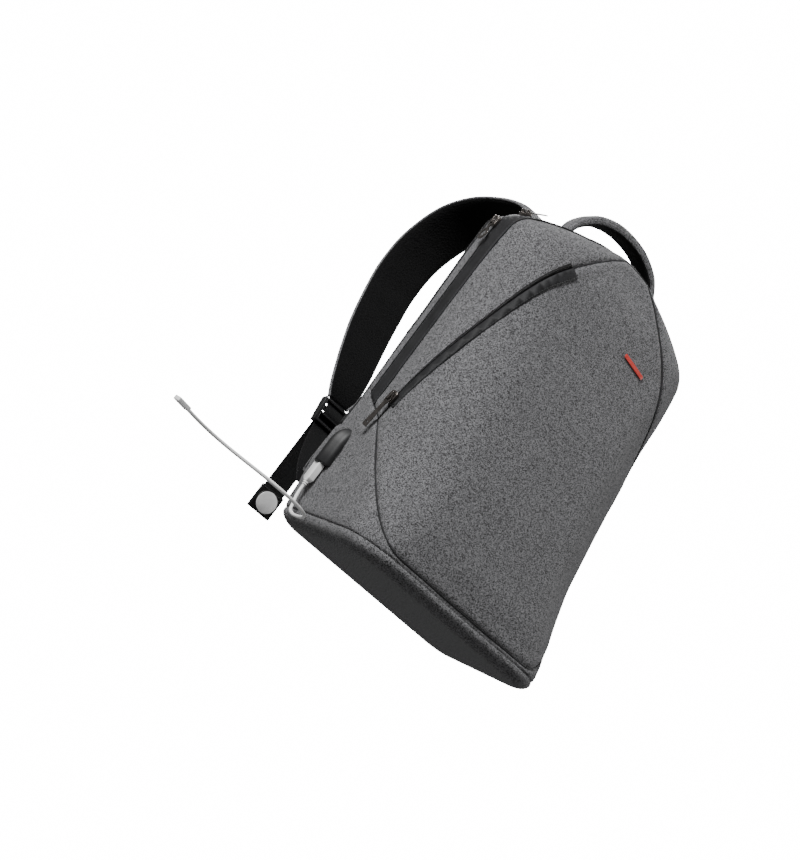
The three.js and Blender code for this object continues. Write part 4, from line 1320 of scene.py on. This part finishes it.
def make_floor():
    """A pale floor that fades into the backdrop, seen from above only."""
    bpy.ops.mesh.primitive_plane_add(size=FLOOR_SIZE, location=(0, 0, -0.0006))
    floor = bpy.context.object
    floor.name = "floor"
    s = Shade("floor", 0.75)
    s.colour(s.ramp(s.noise(3, 2, 0.5), [(0.3, grey(0.8)), (0.7, grey(0.86))]))
    geometry = s.add("ShaderNodeNewGeometry")
    path = s.add("ShaderNodeLightPath")
    far = s.add("ShaderNodeMapRange", **{"From Min": FADE_START, "From Max": FLOOR_SIZE * 0.45})
    distance = s.add("ShaderNodeVectorMath", operation="LENGTH")
    s.link(s.coords, distance.inputs[0])
    s.link(distance.outputs["Value"], far.inputs["Value"])
    s.bsdf.inputs["Emission Color"].default_value = (1, 1, 1, 1)
    glow = s.math("MULTIPLY", s.math("POWER", far.outputs[0], 2.0), BACKDROP)
    s.link(glow, s.bsdf.inputs["Emission Strength"])
    clear = s.add("ShaderNodeBsdfTransparent")
    mix = s.add("ShaderNodeMixShader")
    output = next(n for n in s.tree.nodes if n.type == "OUTPUT_MATERIAL")
    unseen = s.math("SUBTRACT", 1.0, path.outputs["Is Camera Ray"])
    s.link(s.math("MAXIMUM", geometry.outputs["Backfacing"], unseen), mix.inputs["Fac"])
    s.link(s.bsdf.outputs["BSDF"], mix.inputs[1])
    s.link(clear.outputs["BSDF"], mix.inputs[2])
    s.link(mix.outputs["Shader"], output.inputs["Surface"])
    floor.data.materials.append(s.material)


def area_light(name, position, target, size, power):
    data = bpy.data.lights.new(name, "AREA")
    data.shape = "DISK"
    data.size = size
    data.energy = power
    light = bpy.data.objects.new(name, data)
    direction = Vector(target) - Vector(position)
    light.location = position
    light.rotation_euler = direction.to_track_quat("-Z", "Y").to_euler()
    bpy.context.collection.objects.link(light)


def make_world(strength):
    world = bpy.data.worlds.new("studio")
    world.use_nodes = True
    tree = world.node_tree
    background = tree.nodes["Background"]
    background.inputs["Color"].default_value = (1, 1, 1, 1)
    path = tree.nodes.new("ShaderNodeLightPath")
    seen = tree.nodes.new("ShaderNodeMapRange")
    seen.inputs["To Min"].default_value = strength
    seen.inputs["To Max"].default_value = BACKDROP
    tree.links.new(path.outputs["Is Camera Ray"], seen.inputs["Value"])
    tree.links.new(seen.outputs[0], background.inputs["Strength"])
    bpy.context.scene.world = world


make_floor()
make_world(0.2)
area_light("key", (-2.2, -0.9, 1.9), (0, 0, 0.25), 1.2, 128)
area_light("fill", (0.9, -1.9, 2.3), (0, 0, 0.4), 1.4, 8)
area_light("back", (0.6, 2.2, 1.8), (0, 0, 0.3), 1.4, 60)
area_light("side", (2.4, -0.2, 1.3), (0, 0, 0.25), 1.4, 34)
